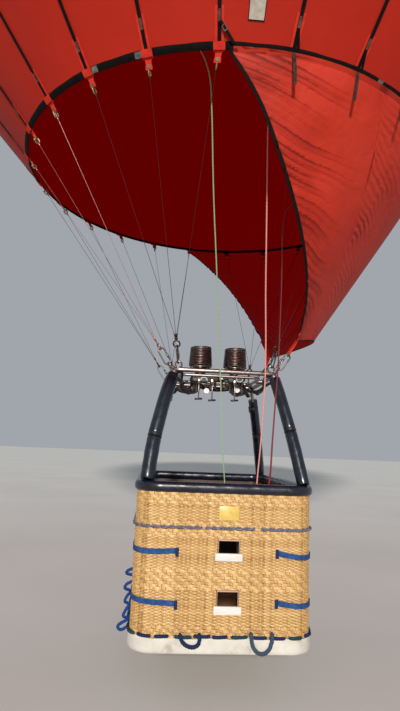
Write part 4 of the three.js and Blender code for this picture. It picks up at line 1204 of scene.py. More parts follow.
def uprights():
    """Padded sleeves of two lengths, each with a flap seam, and the bare rods in the frame's sockets."""
    cuffs = []
    for corner, (name, fat, bend, joint, short) in zip(CORNERS, SLEEVES):
        foot, top, length, lean = upright_line(*corner[1:3])
        face = Vector((*corner[1:3], 0)).normalized()
        high = length - short
        ends = [(0.045, high - 0.26), (0.0465, high - 0.16), (0.0455, high - 0.07), (0.0462, high - 0.008),
                (0.044, high - 0.001), (0.040, high)]
        lower = [(radius, way * joint / SLEEVE_JOINT) for radius, way in SLEEVE_ROWS]
        rows = [(radius * (fat if way < high - 0.02 else 1), way) for radius, way in lower + ends]
        sleeve = turned(rows, foot, top, 28)
        to_sleeve = sleeve.matrix_world.to_3x3().inverted()
        outwards = to_sleeve @ face
        seam = [UP * way + outwards * (radius + 0.0005) for radius, way in rows if way < high - 0.05]
        flap = band(seam, to_sleeve @ lean.cross(face), 0.020, 0.003)
        flap.matrix_world = sleeve.matrix_world.copy()
        piece = joined([sleeve, flap])
        for vertex in piece.data.vertices:
            vertex.co += outwards * (bend * sin(PI * max(0.0, min(1.0, vertex.co.z / length))))
        settle(piece, f"sleeve_{name}", SLEEVE, smooth=60)
        spot = foot + lean * joint + face * (bend * sin(PI * joint / length))
        ring = [(0.041 * fat, 0), (0.0470 * fat, 0.003), (0.0470 * fat, 0.019), (0.041 * fat, 0.022)]
        cuffs.append(turned(ring, spot - lean * 0.011, spot, 28))
        if name.startswith("far"):
            cuffs += cuff(corner, face, high - 0.10)
        rows = [(0.016, 0), (0.016, short - 0.012), (0.0185, short - 0.010), (0.0185, short - 0.002),
                (0.016, short)]
        bare = turned(rows, top - lean * (short + 0.044), top - lean * 0.044, 20)
        settle(bare, f"bare_rod_{name}", STEEL, stands_for=[f"upright_{name}"])
    settle(joined(cuffs), "sleeve_cuffs", BLACK_PLASTIC)


# Basket

WEAVE_PITCH = 0.0098
STAKE_PITCH = 0.0293
STRAND_HALF, STRAND_THICK, WEAVE_REACH = 0.0048, 0.0030, 0.0044
WEAVE_OUTSET, WALL_BACK = -0.0078, -0.0172
WALING_BANDS = [(0.044, 0.178), (0.418, 0.563), (0.778, 0.894), (0.997, 1.080)]
STEP_X = 0.026
STEPS = [
    # hole's bottom, its height, its sill's height
    (0.672, 0.086, 0.054),
    (0.318, 0.096, 0.058),
]
HOLE_HALF, SILL_HALF = 0.072, 0.099


def in_step(spot, margin):
    """Whether a point of a short wall lies in one of its step holes, or so close to one."""
    beside = abs(spot.x - STEP_X) < HOLE_HALF + margin
    return beside and any(bottom - sill + 0.004 < spot.z < bottom + height + margin
                          for bottom, height, sill in STEPS)


def wicker_wall(side):
    """Cane woven on upright stakes: plain rows, with bands of diagonal waling."""
    name, length, stepped = side[0], side_length(side), side in SIDES[::2]
    stakes, rows = round(length / STAKE_PITCH), round((WALL_TOP - WALL_BOTTOM) / WEAVE_PITCH)
    per_stake, around_strand = 3 if stepped else 2, 5
    columns, lines = stakes * per_stake, rows * around_strand - 1
    tones = [chance.uniform(0.22, 0.44) for _ in range(rows)]
    by_stake = [chance.uniform(-0.13, 0.13) for _ in range(stakes + 2)]

    def place(across, along):
        row, corner = divmod(round(along * lines), around_strand)
        height = WALL_BOTTOM + (row + 0.5) * WEAVE_PITCH
        stake = across * stakes
        if any(low < height < high for low, high in WALING_BANDS):
            bow = 1.7 * cos(2 * PI * (stake + row // 2) / 3) + 0.55
        else:
            bow = 1.35 * cos(PI * (stake + row))
        way_out, way_up = ((1, 0), (0, 1), (-1, 0), (0, -1))[corner % 4]
        out = WEAVE_OUTSET + WEAVE_REACH * max(-1, min(1, bow)) + STRAND_THICK * way_out
        return on_side(side, (across - 0.5) * length, out, height + STRAND_HALF * way_up)

    obj = surface(columns, lines, place)
    tone_and_shade = obj.data.attributes.new("tone_and_shade", "FLOAT", "POINT")
    for vertex, value in zip(obj.data.vertices, tone_and_shade.data):
        row = min(rows - 1, int((vertex.co.z - WALL_BOTTOM) / WEAVE_PITCH))
        stake, within = divmod(vertex.index % (columns + 1), per_stake)
        # Each point's tone by row and by stake, less 0.20 of painted shade between the stakes, where the strands
        # cross to the back.
        value.value = tones[row] + by_stake[stake] - (0.20 if within else 0.0)

    def unwanted(face):
        between_strands = (face.index // columns) % around_strand == around_strand - 1
        return between_strands or (stepped and in_step(face.center, 0.010))

    cut_faces(obj, unwanted)
    edit(obj, weld, face_out)
    posts = []
    for stake in range(stakes):
        foot = on_side(side, (stake / stakes - 0.5) * length, WEAVE_OUTSET)
        cuts = [WALL_BOTTOM, WALL_TOP]
        if stepped and abs(foot.x - STEP_X) < HOLE_HALF + 0.010:
            cuts += [height for bottom, tall, sill in STEPS for height in (bottom - sill, bottom + tall)]
        cuts.sort()
        posts += [[foot + UP * low, foot + UP * high] for low, high in zip(cuts[::2], cuts[1::2])]
    settle(joined([obj, pipes(posts, 0.0042, sides=6)]), f"wicker_{name}", CANE,
           stands_for=[f"wall_{name}"], smooth=70)


def wall_core():
    """The back of the weave, a dark sheet that paints the shade behind the strands, and its inner face, darker
    cane that paints the shade inside the basket.
    """
    parts = []
    for side in SIDES:
        def place(across, along, side=side, length=side_length(side)):
            height = WALL_BOTTOM + along * (WALL_TOP - WALL_BOTTOM)
            return on_side(side, (across - 0.5) * length, WALL_BACK, height)

        stepped = side in SIDES[::2]
        sheet = surface(82, 74 if stepped else 2, place)
        if stepped:
            cut_faces(sheet, lambda face: in_step(face.center, 0.002))
        parts.append(thicken(facing(sheet, (*side[2], 0)), 0.0150, [CORE, SHADED_INNER_CANE]))
    settle(joined(parts), "weave_back", [CORE, SHADED_INNER_CANE])


def step_holes():
    """A painted board under each step hole, a thin cane binding round it and a black lining inside it that
    paints the hole's shade, at both ends.
    """
    boards, frames, shade_lining = [], [], []
    for out, depth in ENDS:
        for bottom, height, sill in STEPS:
            def piece(x, inset, z, size, edge, out=out, depth=depth):
                return block((STEP_X + x, out * (depth - inset), z), size, edge)

            middle, top = bottom + height / 2, bottom + height
            boards.append(piece(0, 0.004, bottom - sill / 2, (2 * SILL_HALF, 0.026, sill), 0.005))
            for way in (-1, 1):
                x = way * (HOLE_HALF + 0.003)
                frames.append(piece(x, 0.014, middle, (0.005, 0.020, height + 0.008), 0.002))
                # Black strips inside the hole: painted shade.
                shade_lining.append(piece(x - way * 0.001, 0.022, middle, (0.005, 0.024, height), 0.001))
            frames.append(piece(0, 0.010, top + 0.004, (2 * HOLE_HALF + 0.012, 0.024, 0.011), 0.003))
            shade_lining.append(piece(0, 0.022, top + 0.001, (2 * HOLE_HALF, 0.024, 0.004), 0.001))
    settle(joined(boards), "step_boards", SILL)
    settle(joined(frames), "step_bindings", BINDING)
    settle(joined(shade_lining), "step_linings_painted_shade", BLACK_TAPE)


def rim_roll():
    """Leather stuffed into a roll on the wall's top edge, a little lumpy between its stitches."""
    half_width, half_height = RIM_WIDTH / 2, (RIM_TOP - RIM_BOTTOM) / 2
    lumps = [(chance.uniform(20, 60), chance.uniform(0, 6.3), chance.uniform(0.3, 1.0)) for _ in range(7)]

    def place(turn, section):
        angle, far = 2 * PI * section, 2 * PI * turn
        lump = sum(size * sin(round(rate) * far + phase + 1.3 * sin(angle)) for rate, phase, size in lumps)
        out, rise = squared(angle, 0.82)
        out *= half_width * (1 + 0.0095 * lump)
        rise *= half_height * (1 + 0.006 * lump)
        return around(turn, RIM_OVERHANG - half_width + out - 0.001, RIM_BOTTOM + half_height + rise - 0.001)

    roll = surface(420, 24, place, closed=True)
    piece = settle(roll, "padded_rim", RIM, stands_for=["rim_roll"], smooth=80)


SKIRT_TOP = 0.106


def hide_skirt():
    """Raw hide stretched round the bottom of the basket and rolled under, with a slightly wavy upper edge."""
    def place(turn, section):
        far = 2 * PI * turn
        edge = SKIRT_TOP + 0.003 * sin(23 * far + 1) + 0.002 * sin(41 * far)
        dents = 0.0012 * sin(67 * far + 2 * sin(9 * far))
        table = [(0.0005, edge), (0.0060, edge + 0.001), (0.0078, edge - 0.006), (0.0078 + dents, 0.085),
                 (0.0076 - dents, 0.055), (0.0078 + dents, 0.030), (0.0060, 0.014), (0.0012, 0.0065),
                 (-0.004, 0.0042), (-0.004, 0.009), (0.0005, 0.030), (0.0005, 0.070)]
        return around(turn, *table[round(section * 12) % 12])

    skirt = surface(360, 12, place, closed=True)
    settle(skirt, "hide_wrap", HIDE, stands_for=["hide_skirt"], smooth=60)


def skirt_stitches():
    """Fat running stitches of rope along the hide's upper edge, every third one teal."""
    count = round(PERIMETER / 0.132)
    navy, teal = [], []
    for stitch in range(count):
        start = stitch / count + chance.uniform(0.008, 0.020) / PERIMETER
        span = chance.uniform(0.088, 0.112) / PERIMETER
        height, tilt = SKIRT_TOP + chance.uniform(0.009, 0.015), chance.uniform(-0.004, 0.004)
        line = []
        for share in shares(12):
            out = 0.0135 * sin(PI * share) ** 0.5 - 0.004
            line.append(around(start + span * share, out, height + tilt * (share - 0.5)))
        (teal if stitch % 3 == 2 else navy).append(line)
    settle(rope(navy, 0.0125, 0.056), "skirt_stitches_navy", NAVY_ROPE)
    settle(rope(teal, 0.0125, 0.056), "skirt_stitches_teal", TEAL_ROPE)


HANDLES = [
    # middle x, half width, top, bottom, how far right of the middle it hangs lowest
    (-0.231, 0.066, 0.128, 0.062, 0.018),
    (0.271, 0.074, 0.140, 0.024, 0.0),
]
SIDE_LOOPS = [
    # distance from the near end of the long wall, bottom, top, reach out of the wall
    (0.30, 0.045, 0.135, 0.030),
    (0.62, 0.040, 0.135, 0.034),
    (1.15, 0.042, 0.135, 0.030),
    (1.48, 0.045, 0.135, 0.028),
]
LACED_ROPE = [
    # distance from the near end of the left wall, reach out of the wall, height
    (0.290, -0.010, 0.500), (0.300, 0.036, 0.478), (0.310, 0.044, 0.455), (0.320, -0.008, 0.440),
    (0.300, -0.010, 0.410), (0.290, 0.038, 0.385), (0.300, 0.050, 0.352), (0.320, 0.006, 0.330),
    (0.300, 0.030, 0.300), (0.295, 0.046, 0.262), (0.310, 0.012, 0.238), (0.300, 0.036, 0.200),
    (0.290, 0.050, 0.160), (0.310, 0.010, 0.138), (0.300, 0.060, 0.112), (0.285, 0.088, 0.090),
    (0.290, 0.060, 0.066), (0.315, 0.006, 0.090),
]
HANDLE_RADIUS = 0.0145


def rope_handles():
    """Rope handles low on both ends, loops along both sides, and the spare rope laced into the left wall."""
    lines, loops = [[], []], []
    for line, (x, half, top, bottom, aside) in zip(lines, HANDLES):
        for side, depth in ENDS:
            knots = [(x - half, side * (depth - 0.010), top)]
            for share in shares(8):
                dip = sin(PI * share)
                knots.append((x - half * cos(PI * share) + aside * dip, side * (depth + 0.014 + 0.012 * dip),
                              top - 0.004 - (top - bottom) * dip ** 0.85))
            knots.append((x + half, side * (depth - 0.010), top))
            line.append(through(knots, 5))
    for way, depth in LONG_SIDES:
        for distance, bottom, top, reach in SIDE_LOOPS[0 if way > 0 else 1:]:
            half = [(-0.010, -0.06, top), (0.014, -0.06, top - 0.006), (reach * 0.8, -0.045, bottom + 0.02)]
            whole = [*half, (reach, 0.0, bottom), *((out, -y, z) for out, y, z in reversed(half))]
            knots = [(way * (depth + out), distance - NEAR_DEPTH + y, z) for out, y, z in whole]
            loops.append(through(knots, 5))
    laced = [(-SIDE_DEPTH - reach, distance - NEAR_DEPTH, height) for distance, reach, height in LACED_ROPE]
    loops.append(through(laced, 5))
    settle(rope(lines[0], HANDLE_RADIUS, 0.055), "rope_handles_navy", NAVY_ROPE)
    settle(rope(lines[1], HANDLE_RADIUS, 0.055), "rope_handles_slate", SLATE_ROPE)
    settle(rope(loops, 0.0115, 0.050), "side_ropes", BLUE_ROPE)


PLAIT_HEIGHT, PLAIT_TWIST = 0.845, 0.120
PLAIT_RUNS = {
    "near": [(-0.628, -0.173), (-0.145, 0.209), (0.260, 0.626)],
    "far": [(-0.600, -0.200), (-0.160, 0.180), (0.230, 0.600)],
    "right": [(-0.870, -0.480), (-0.440, 0.020), (0.060, 0.420), (0.470, 0.870)],
    "left": [(-0.870, -0.450), (-0.400, -0.020), (0.030, 0.440), (0.480, 0.870)],
}


def plaited_cord():
    """Two thick strands twisted round each other, laced in and out of the wall all round."""
    lines = []
    for side in SIDES:
        for start, end in PLAIT_RUNS[side[0]]:
            for strand in range(2):
                line = []
                for share in shares(max(6, round((end - start) / 0.0075))):
                    along = start + (end - start) * share
                    phase = 2 * PI * (along / PLAIT_TWIST + strand / 2)
                    tuck = 0.012 * max(0.0, 1 - min(share, 1 - share) * (end - start) / 0.012)
                    out = 0.0055 + 0.0050 * cos(phase) - tuck
                    line.append(on_side(side, along, out, PLAIT_HEIGHT + 0.0062 * sin(phase)))
                lines.append(line)
    settle(pipes(lines, 0.0066, sides=8), "plaited_cord", PLAIT)


STRAPS = [
    # side, slot's distance along it, slot's height, height at the corner, end beyond the corner
    (0, -0.339, 0.684, 0.672, -0.615),
    (0, 0.371, 0.686, 0.650, 0.615),
    (0, -0.333, 0.331, 0.340, -0.615),
    (0, 0.370, 0.349, 0.321, 0.615),
    (2, -0.350, 0.680, 0.680, -0.615),
    (2, 0.350, 0.680, 0.680, 0.615),
    (2, -0.350, 0.345, 0.360, -0.615),
    (2, 0.350, 0.345, 0.360, 0.615),
]
STRAP_WIDTH = 0.037


def cylinder_straps():
    """Webbing that comes out through a slot in the wall, round the outside of the corner, and in again."""
    straps, slots = [], []
    for index, start, low, high, end in STRAPS:
        way = -1 if end > 0 else 1
        side, beyond = SIDES[index], SIDES[(index - way) % 4]
        line = []
        for share in shares(24):
            tuck = -0.020 * max(0.0, 1 - share * 16)
            rise = (high - low) * (1 - (1 - share) ** 1.6)
            line.append(on_side(side, start + (end - start) * share, 0.0035 + tuck, low + rise))
        corner = side_length(beyond) / 2
        for share in shares(20)[1:]:
            tuck = -0.020 * max(0.0, share * 16 - 15)
            line.append(on_side(beyond, way * (corner - 0.30 * share), 0.0035 + tuck, high + 0.010 * share))
        straps.append(band(line, UP, STRAP_WIDTH, 0.003))
        for host, along, height in ((side, start + copysign(0.004, start), low - 0.010),
                                    (beyond, way * (corner - 0.30), high)):
            size = (0.024, 0.006, 0.062) if host[2][1] else (0.006, 0.024, 0.062)
            slots.append(block(on_side(host, along, 0.0015, height), size, 0.0025))
    settle(joined(straps), "cylinder_straps", BLUE_TAPE)
    settle(joined(slots), "strap_slots", NAVY_ROPE)


def blank_plate():
    """A bare yellow plate on the near wall, with four rivets."""
    low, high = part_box("plate")
    centre = (low + high) / 2 - UP * UNDERSIDE
    plate = block(centre, (0.144, 0.005, 0.100), 0.002)
    settle(plate, "blank_plate", PLATE, stands_for=["plate"])
    rivets = []
    for x in (-0.062, 0.062):
        for z in (-0.040, 0.040):
            spot = centre + Vector((x, -0.0022, z))
            rivets.append(turned([(0.0035, 0), (0.0030, 0.0014), (0.0016, 0.0020)], spot, spot - AWAY, 12))
    settle(joined(rivets), "plate_rivets", ALUMINIUM)


CYLINDER_X, CYLINDER_Y = 0.474, 0.744


def fuel_cylinders():
    """Four upright cylinders, each with a foot ring, a guard ring, and its valve."""
    shell = [(0.060, 0.022), (0.104, 0.036), (0.128, 0.052), (0.140, 0.074), (0.1425, 0.100), (0.1425, 0.725),
             (0.139, 0.752), (0.126, 0.776), (0.100, 0.795), (0.060, 0.806), (0.030, 0.808)]
    for name, side_x, side_y, _ in CORNERS:
        base = Vector((side_x * CYLINDER_X, side_y * CYLINDER_Y, WALL_BOTTOM + 0.0003))
        parts = [turned(shell, base, sides=40)]
        for radius, low, high in ((0.108, 0.0, 0.042), (0.100, 0.790, 0.868)):
            outer, inner = radius + 0.004, radius - 0.004
            ring = [(inner, low), (radius, low), (outer, low + 0.003), (outer, high - 0.003), (radius, high),
                    (inner, high), (inner, low + 0.002)]
            parts.append(turned(ring, base, sides=40))
        settle(joined(parts), f"cylinder_{name}", ALUMINIUM,
               stands_for=[f"fuel_cylinder_{name}"])
        top, spout = base + UP * 0.806, base + UP * 0.830
        neck = [(0.026, 0), (0.026, 0.012), (0.014, 0.014), (0.014, 0.034), (0.018, 0.036), (0.018, 0.044)]
        valve = [turned(neck, top, sides=16), rod(spout, spout - EAST * side_x * 0.050, 0.009, 12)]
        settle(joined(valve), f"cylinder_valve_{name}", DARK_BRASS)


# Scoop

SCOOP_START, SCOOP_END, CORNER_REACH = 0.30, 13.0, 0.14
SCOOP_LAP_FROM, SCOOP_LAP_TO = 0.024, 0.062
NEAR_FOOT, NEAR_BULGE = Vector((0.567, -0.672, 2.294)), Vector((0.220, -0.091, -0.323))
FAR_FOOT, FAR_BULGE = Vector((0.670, 0.762, 2.397)), Vector((0.130, 0.191, 0.105))
FOOT_BOW_OUT, FOOT_BOW_UP, SCOOP_BELLY = 0.279, 0.083, 0.028


def scoop_point(u, v, lift=0.0):
    """A point of the scoop's outer face: u from its near edge to its far one, v from the hem down."""
    start = SCOOP_START - CORNER_REACH * max(0.0, 1 - max(0.0, v) / 0.14) ** 2
    tape = -(start + u * (SCOOP_END - start))
    on_hem = on_cone(tape, SCOOP_LAP_TO, 0.0153 + lift)
    if v <= 0:
        return on_hem + (on_cone(tape, SCOOP_LAP_FROM, 0.0153 + lift) - on_hem) * min(1, -v)
    foot = NEAR_FOOT.lerp(FAR_FOOT, u)
    bow = 4 * u * (1 - u)
    foot += Vector((FOOT_BOW_OUT * bow, 0, FOOT_BOW_UP * bow))
    near, far = max(0, 1 - 3 * u) ** 2, max(0, 3 * u - 2) ** 2
    edge_wave = sin(PI * v ** 0.89)
    belly = sin(PI * v ** 0.39) * (1 - near - far)
    out = Vector((on_hem.x, on_hem.y, 0)).normalized() * 0.8 + Vector((0, 0, -0.6))
    creases = pleats(u, v)[0] * min(1.0, v * 20, (1 - v) * 12)
    return on_hem.lerp(foot, v) + NEAR_BULGE * near * edge_wave + FAR_BULGE * far * edge_wave + out * (
        SCOOP_BELLY * belly + creases + lift)


PLEAT_HEIGHT, PLEAT_REACH = 0.021, 0.130
PLEATS_DOWN, PLEATS_FEWER = 50, 23
PLEAT_SIZES = [(chance.uniform(0.35, 1.25), chance.uniform(0.40, 1.25)) for _ in range(60)]


def pleat_number(v):
    """How many folds begin between the hem and a share of the way down an edge: closer near the hem."""
    return PLEATS_DOWN * v - PLEATS_FEWER * v * v


def pleats(u, v):
    """Folds that run from the side edges into the cloth, slanting down: their height and their shade."""
    height, shade = 0.0, 0.0
    for share in (u, 1 - u):
        if share > 0.16:
            continue
        began = v - (1 + 1.9 * v) * (share - 3 * share * share)
        line = pleat_number(began) + 0.25 * sin(17 * v + 30 * share)
        size, length = PLEAT_SIZES[int(line // 1) % len(PLEAT_SIZES)]
        reach = max(0.0, 1 - share / (PLEAT_REACH * length)) ** 0.7
        height += PLEAT_HEIGHT * size * (abs(sin(PI * line)) ** 0.6 - 0.6) * reach
        shade += size * (1 - line % 1) ** 1.6 * reach
    return height, shade


def wind_scoop():
    """A sheet of flame-proof cloth from the hem's right half down to the frame's two right corners."""
    columns, rows, lap_rows, edge_columns = 128, 290, 4, 48

    def across_sheet(share):
        """More columns in the gathered strips along the edges."""
        column = min(share, 1 - share) * columns
        if column <= edge_columns:
            reach = 0.13 * column / edge_columns
        else:
            reach = 0.13 + 0.37 * (column - edge_columns) / (columns / 2 - edge_columns)
        return reach if share <= 0.5 else 1 - reach

    def down_sheet(share):
        """Rows as close as the folds, after a few for the lap on the hem."""
        row = round(share * rows)
        if row <= lap_rows:
            return row / lap_rows - 1
        folds = pleat_number(1) * (row - lap_rows) / (rows - lap_rows)
        return (PLEATS_DOWN - sqrt(PLEATS_DOWN ** 2 - 4 * PLEATS_FEWER * folds)) / (2 * PLEATS_FEWER)

    sheet = surface(columns, rows, lambda across, down: scoop_point(across_sheet(across), down_sheet(down)))
    # The pleats' painted shade, kept at each point for the cloth's colour.
    painted_fold_shade = sheet.data.attributes.new("painted_fold_shade", "FLOAT", "POINT")
    for corner, spot in zip(sheet.data.loops, sheet.data.uv_layers.active.data):
        spot.uv = (across_sheet(round(spot.uv.x * columns) / columns), down_sheet(spot.uv.y))
        painted_fold_shade.data[corner.vertex_index].value = pleats(*spot.uv)[1]
    thicken(facing(sheet, (0.9, 0, -0.4)), 0.003, SCOOP_CLOTH)
    piece = settle(sheet, "scoop_sheet", SCOOP_CLOTH, stands_for=["scoop"], smooth=60)


def scoop_edging():
    """Black tape along both side edges, a dark binding on the foot, and the seams between the panels."""
    parts, seams = [], []
    for u in (0.0, 1.0):
        downs = [-1.0, -0.5] + shares(90)
        line = [scoop_point(u, down, 0.002) for down in downs]
        ways = [scoop_point(abs(u - 0.02), down) - scoop_point(u, down) for down in downs]
        parts.append(band(line, ways, 0.026, 0.006))
    settle(joined(parts), "scoop_edging", BLACK_TAPE)
    binding = band([scoop_point(u, 1.0, 0.001) for u in shares(60)],
                   [scoop_point(u, 0.9) - scoop_point(u, 1.0) for u in shares(60)], 0.012, 0.006)
    settle(binding, "scoop_foot_binding", DARK_BINDING)
    for top_u, foot_u in ((SEAM_SHARE, SEAM_SHARE), (0.47, 0.52), (1 - SEAM_SHARE, 1 - SEAM_SHARE)):
        line = [scoop_point(top_u + (foot_u - top_u) * down, down, 0.0006) for down in shares(30)]
        ways = [scoop_point(top_u + 0.02, down) - scoop_point(top_u, down) for down in shares(30)]
        seams.append(band(line, ways, 0.014, 0.0016))
    settle(joined(seams), "scoop_seams", SCOOP_CLOTH[0])


def scoop_corners():
    """Reinforced corners, their short chains or straps to the frame, and the hook at the near edge's top."""
    near_eye, far_eye = frame_corner(1, -1), frame_corner(1, 1)
    line = [scoop_point(0.004, 0.93), NEAR_FOOT, NEAR_FOOT.lerp(near_eye, 0.32)]
    red, metal, black = [band(through(line, 4), (0.3, 0.5, 0.8), 0.062, 0.010)], [], []
    links, chain_start, chain_end = 7, NEAR_FOOT.lerp(near_eye, 0.30), near_eye + Vector((0.010, -0.012, 0.030))
    chain = chain_end - chain_start
    run, half = chain.normalized(), chain.length / links / 2 + 0.003
    for link in range(links):
        side = run.cross(Vector((0, 1, 0) if link % 2 else (0.7, 0.2, 0.4))).normalized()
        spot = chain_start.lerp(chain_end, (link + 0.5) / links)
        metal.append(chain_link(spot, side, run, 0.008, half, 0.0079, 0.0026, 6, 4))
    tip, inside = FAR_FOOT.lerp(far_eye, 0.30), Vector((-0.020, -0.030, 0))
    line = [scoop_point(0.975, 0.88) + inside, FAR_FOOT.lerp(scoop_point(0.98, 0.92), 0.4) + inside, tip]
    red.append(band(line, (0.9, 0.15, 0.25), lambda share: 0.120 - 0.090 * share, 0.006))
    for aside in (-0.016, 0.016):
        shift = AWAY * aside
        line = [tip + shift, tip.lerp(far_eye, 0.5) + shift * 0.6, far_eye + shift * 0.4 + UP * 0.022]
        black.append(band(line, (0, 1, 0.2), 0.018, 0.003))
    # The strap that holds the near top corner to the first load tape, with its buckle
    corner = SCOOP_START - CORNER_REACH + 0.02
    hold = [above_mouth(-0.01 - corner * share, 0.088 * (1 - share), 0.014) for share in shares(8)]
    black.append(band(hold, (0.55, 0, 0.75), 0.022, 0.003))
    buckle = (hold[2] + hold[3]) / 2
    metal.append(chain_link(buckle, hold[3] - hold[2], (0.55, 0, 0.75), 0.017, 0.013, 0.004, 0.0035, 8, 4))
    for tape in (-1, -2, -3):
        spur = [above_mouth(tape - 0.055 * share, 0.080 * (1 - share), 0.012) for share in shares(4)]
        black.append(band(spur, (0.75, 0, 0.55), 0.020, 0.003))
    settle(joined(red), "scoop_corner_pieces", RED_TAPE)
    settle(joined(metal), "scoop_chain_and_hook", STEEL)
    settle(joined(black), "scoop_far_straps", BLACK_TAPE)


TAILS = [
    # load tape's number, length, sideways drift
    (-1, 0.22, -0.01),
    (-2, 0.22, 0.035),
    (-3, 0.19, 0.060),
]


def tape_tails():
    """Loose ends of webbing that hang straight down from the hem."""
    parts = []
    for tape, length, drift in TAILS:
        top, way = on_cone(tape, HEM_DEPTH * 0.6, 0.022), along_hem(tape)
        line = [top - UP * length * share + way * drift * share - AWAY * 0.01 * sin(3 * share)
                for share in shares(8)]
        parts.append(band(line, way, 0.024, 0.0025))
    settle(joined(parts), "tape_tails", TAIL_TAPE)


# Lines from the crown

GREEN_KNOTS = [(-0.373, -1.60, 4.111), (-0.333, -1.55, 4.077), (-0.290, -1.50, 3.979), (-0.261, -1.42, 3.786),
               (-0.207, -1.22, 3.238), (-0.143, -1.02, 2.718), (-0.085, -0.84, 2.194), (-0.053, -0.76, 1.893),
               (-0.025, -0.72, 1.472), (0.008, -0.70, 1.155), (0.015, -0.72, 0.950)]
PINK_KNOTS = [(0.165, -1.35, 3.761), (0.167, -1.32, 3.684), (0.198, -1.18, 3.250), (0.242, -0.98, 2.614),
              (0.275, -0.86, 2.210), (0.289, -0.78, 1.908), (0.276, -0.74, 1.484), (0.255, -0.72, 1.157),
              (0.250, -0.72, 0.950)]
RED_KNOTS = [(0.391, -1.20, 3.240), (0.334, -1.14, 3.119), (0.349, -1.05, 2.850), (0.364, -0.98, 2.622),
             (0.385, -0.82, 2.104), (0.380, -0.76, 1.797), (0.366, -0.74, 1.488), (0.350, -0.72, 1.161),
             (0.290, -0.72, 0.980)]


def crown_lines():
    """The valve's pulling line, its closing line, and the scoop's own line."""
    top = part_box("parachute_valve")[1].z - UNDERSIDE - 0.04
    for name, knots, finish, crown_spot, radius in (
        ("valve_line", GREEN_KNOTS, GREEN_LINE, (0.0, 0.0, top), 0.0048),
        ("vent_line", PINK_KNOTS, PINK_LINE, (0.9, 0.3, top - 0.03), 0.0056),
    ):
        split = Vector(knots[0])
        upper = [split.lerp(Vector(crown_spot), share) for share in shares(24)]
        settle(pipes([through(knots)], radius, sides=6), f"{name}_lower", finish)
        tail = settle(pipes([upper], radius, sides=6), f"{name}_upper", finish, None)
        up(split)
        up(upper[-1])
        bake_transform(tail)
    line = through(RED_KNOTS)
    sizes = [0.004 + 0.006 * max(0, min(0.5, i / len(line) - 0.3)) for i in range(len(line))]
    settle(pipes([line], sizes, sides=6), "scoop_line", RED_LINE)


LABEL_TAPES, LABEL_RISE = (-0.36, -0.547), (0.103, 0.270)


def bare_label():
    """A bare patch of cloth sewn on a gore above the mouth, its edge taped dark."""
    (start, end), (low, high) = LABEL_TAPES, LABEL_RISE
    for name, finish, margin, lift in (
        ("bare_label", LABEL, 0.0, 0.006),
        ("label_edge", BLACK_TAPE, 0.010, 0.004),
    ):
        sheet = surface(6, 6, lambda across, along: above_mouth(
            start + margin + (end - start - 2 * margin) * across,
            low - margin * 0.5 + (high - low + margin) * along, lift))
        settle(thicken(facing(sheet, (0, -0.8, -0.5)), 0.002), name, finish)


# Scene: floor, light, camera

CAMERA_PLACE = Vector((-0.541, -4.936, 1.396))
YAW, PITCH, ROLL = radians(4.33), radians(9.77), radians(2.32)
LENS, SENSOR = 27.49, 36.0
SUN_AZIMUTH, SUN_RISE = radians(7.3), radians(18)
FLOOR_HEIGHT = -0.35


def camera():
    """The photo's camera, solved from the basket's corners, the frame and the mouth."""
    forward = Vector((sin(YAW) * cos(PITCH), cos(YAW) * cos(PITCH), sin(PITCH)))
    right = Vector((cos(YAW), -sin(YAW), 0))
    above = right.cross(forward)
    rolled_right = right * cos(ROLL) + above * sin(ROLL)
    rolled_above = above * cos(ROLL) - right * sin(ROLL)
    data = bpy.data.cameras.new("Camera")
    data.lens, data.sensor_width, data.clip_end = LENS, SENSOR, 400
    obj = bpy.data.objects.new("Camera", data)
    bpy.context.scene.collection.objects.link(obj)
    turn = Matrix((rolled_right, rolled_above, -forward)).transposed().to_4x4()
    obj.matrix_world = Matrix.Translation(CAMERA_PLACE + UP * UNDERSIDE) @ turn
    bpy.context.scene.camera = obj


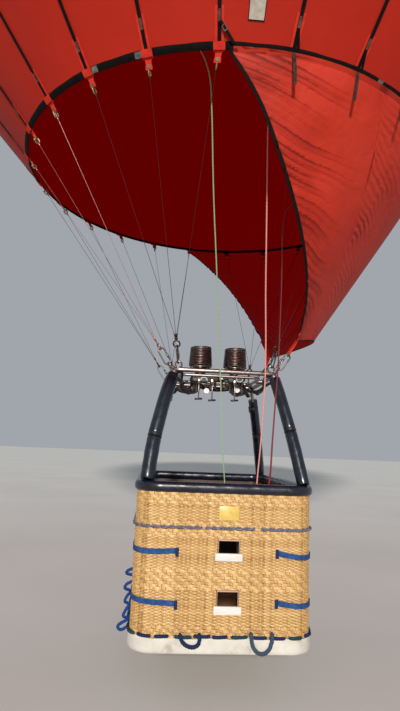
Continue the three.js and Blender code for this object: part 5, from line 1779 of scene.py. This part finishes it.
def studio():
    """A pale floor, a low sun in front and an even sky."""
    bpy.ops.object.select_all(action="DESELECT")
    bpy.ops.mesh.primitive_plane_add(size=400, location=(0, 0, UNDERSIDE + FLOOR_HEIGHT))
    ground = bpy.context.object
    ground.name = "floor"
    look = material("Matt pale plaster", Roughness=0.9)
    cloud = pattern(look, "TexNoise", Scale=0.3, Detail=4.0)
    ground.data.materials.append(dressed(look, cloud, [(0.3, "#C9C8C4"), (0.7, "#D2D1CE")]))

    sun = bpy.data.lights.new("Sun", "SUN")
    sun.energy, sun.angle, sun.color = 3.9, radians(5), (1.0, 0.95, 0.88)
    obj = bpy.data.objects.new("Sun", sun)
    bpy.context.scene.collection.objects.link(obj)
    toward = Vector((-sin(SUN_AZIMUTH) * cos(SUN_RISE), -cos(SUN_AZIMUTH) * cos(SUN_RISE), sin(SUN_RISE)))
    obj.rotation_euler = toward.to_track_quat("Z", "Y").to_euler()

    world = bpy.data.worlds.new("Pale studio")
    bpy.context.scene.world = world
    world.use_nodes = True
    sky = world.node_tree.nodes["Background"].inputs
    sky["Color"].default_value = colour("#DCE2EA")
    sky["Strength"].default_value = 0.50
    bpy.context.scene.view_settings.view_transform = "Standard"


def kept_nodes():
    """The floor keeps its CAD mesh, with a plywood finish."""
    node = bpy.data.objects["basket_floor"]
    node.data.materials.clear()
    node.data.materials.append(BIRCH)


gores = envelope_gores()
load_tapes()
crown_ring()
parachute_cloth()
mouth_hem()
hem_patches()
flying_wires()
wire_tabs()
burner_frame()
gimbal()
carrier()
for which, way in (("left", -1), ("right", 1)):
    burner_coil(which, way)
    valve_block(which, way)
    fuel_hoses(which, way)
burner_ports()
gauges_and_levers()
uprights()
for wall in SIDES:
    wicker_wall(wall)
wall_core()
step_holes()
rim_roll()
hide_skirt()
skirt_stitches()
rope_handles()
plaited_cord()
cylinder_straps()
blank_plate()
fuel_cylinders()
scoop_edging()
wind_scoop()
scoop_corners()
tape_tails()
crown_lines()
bare_label()
kept_nodes()
studio()
camera()
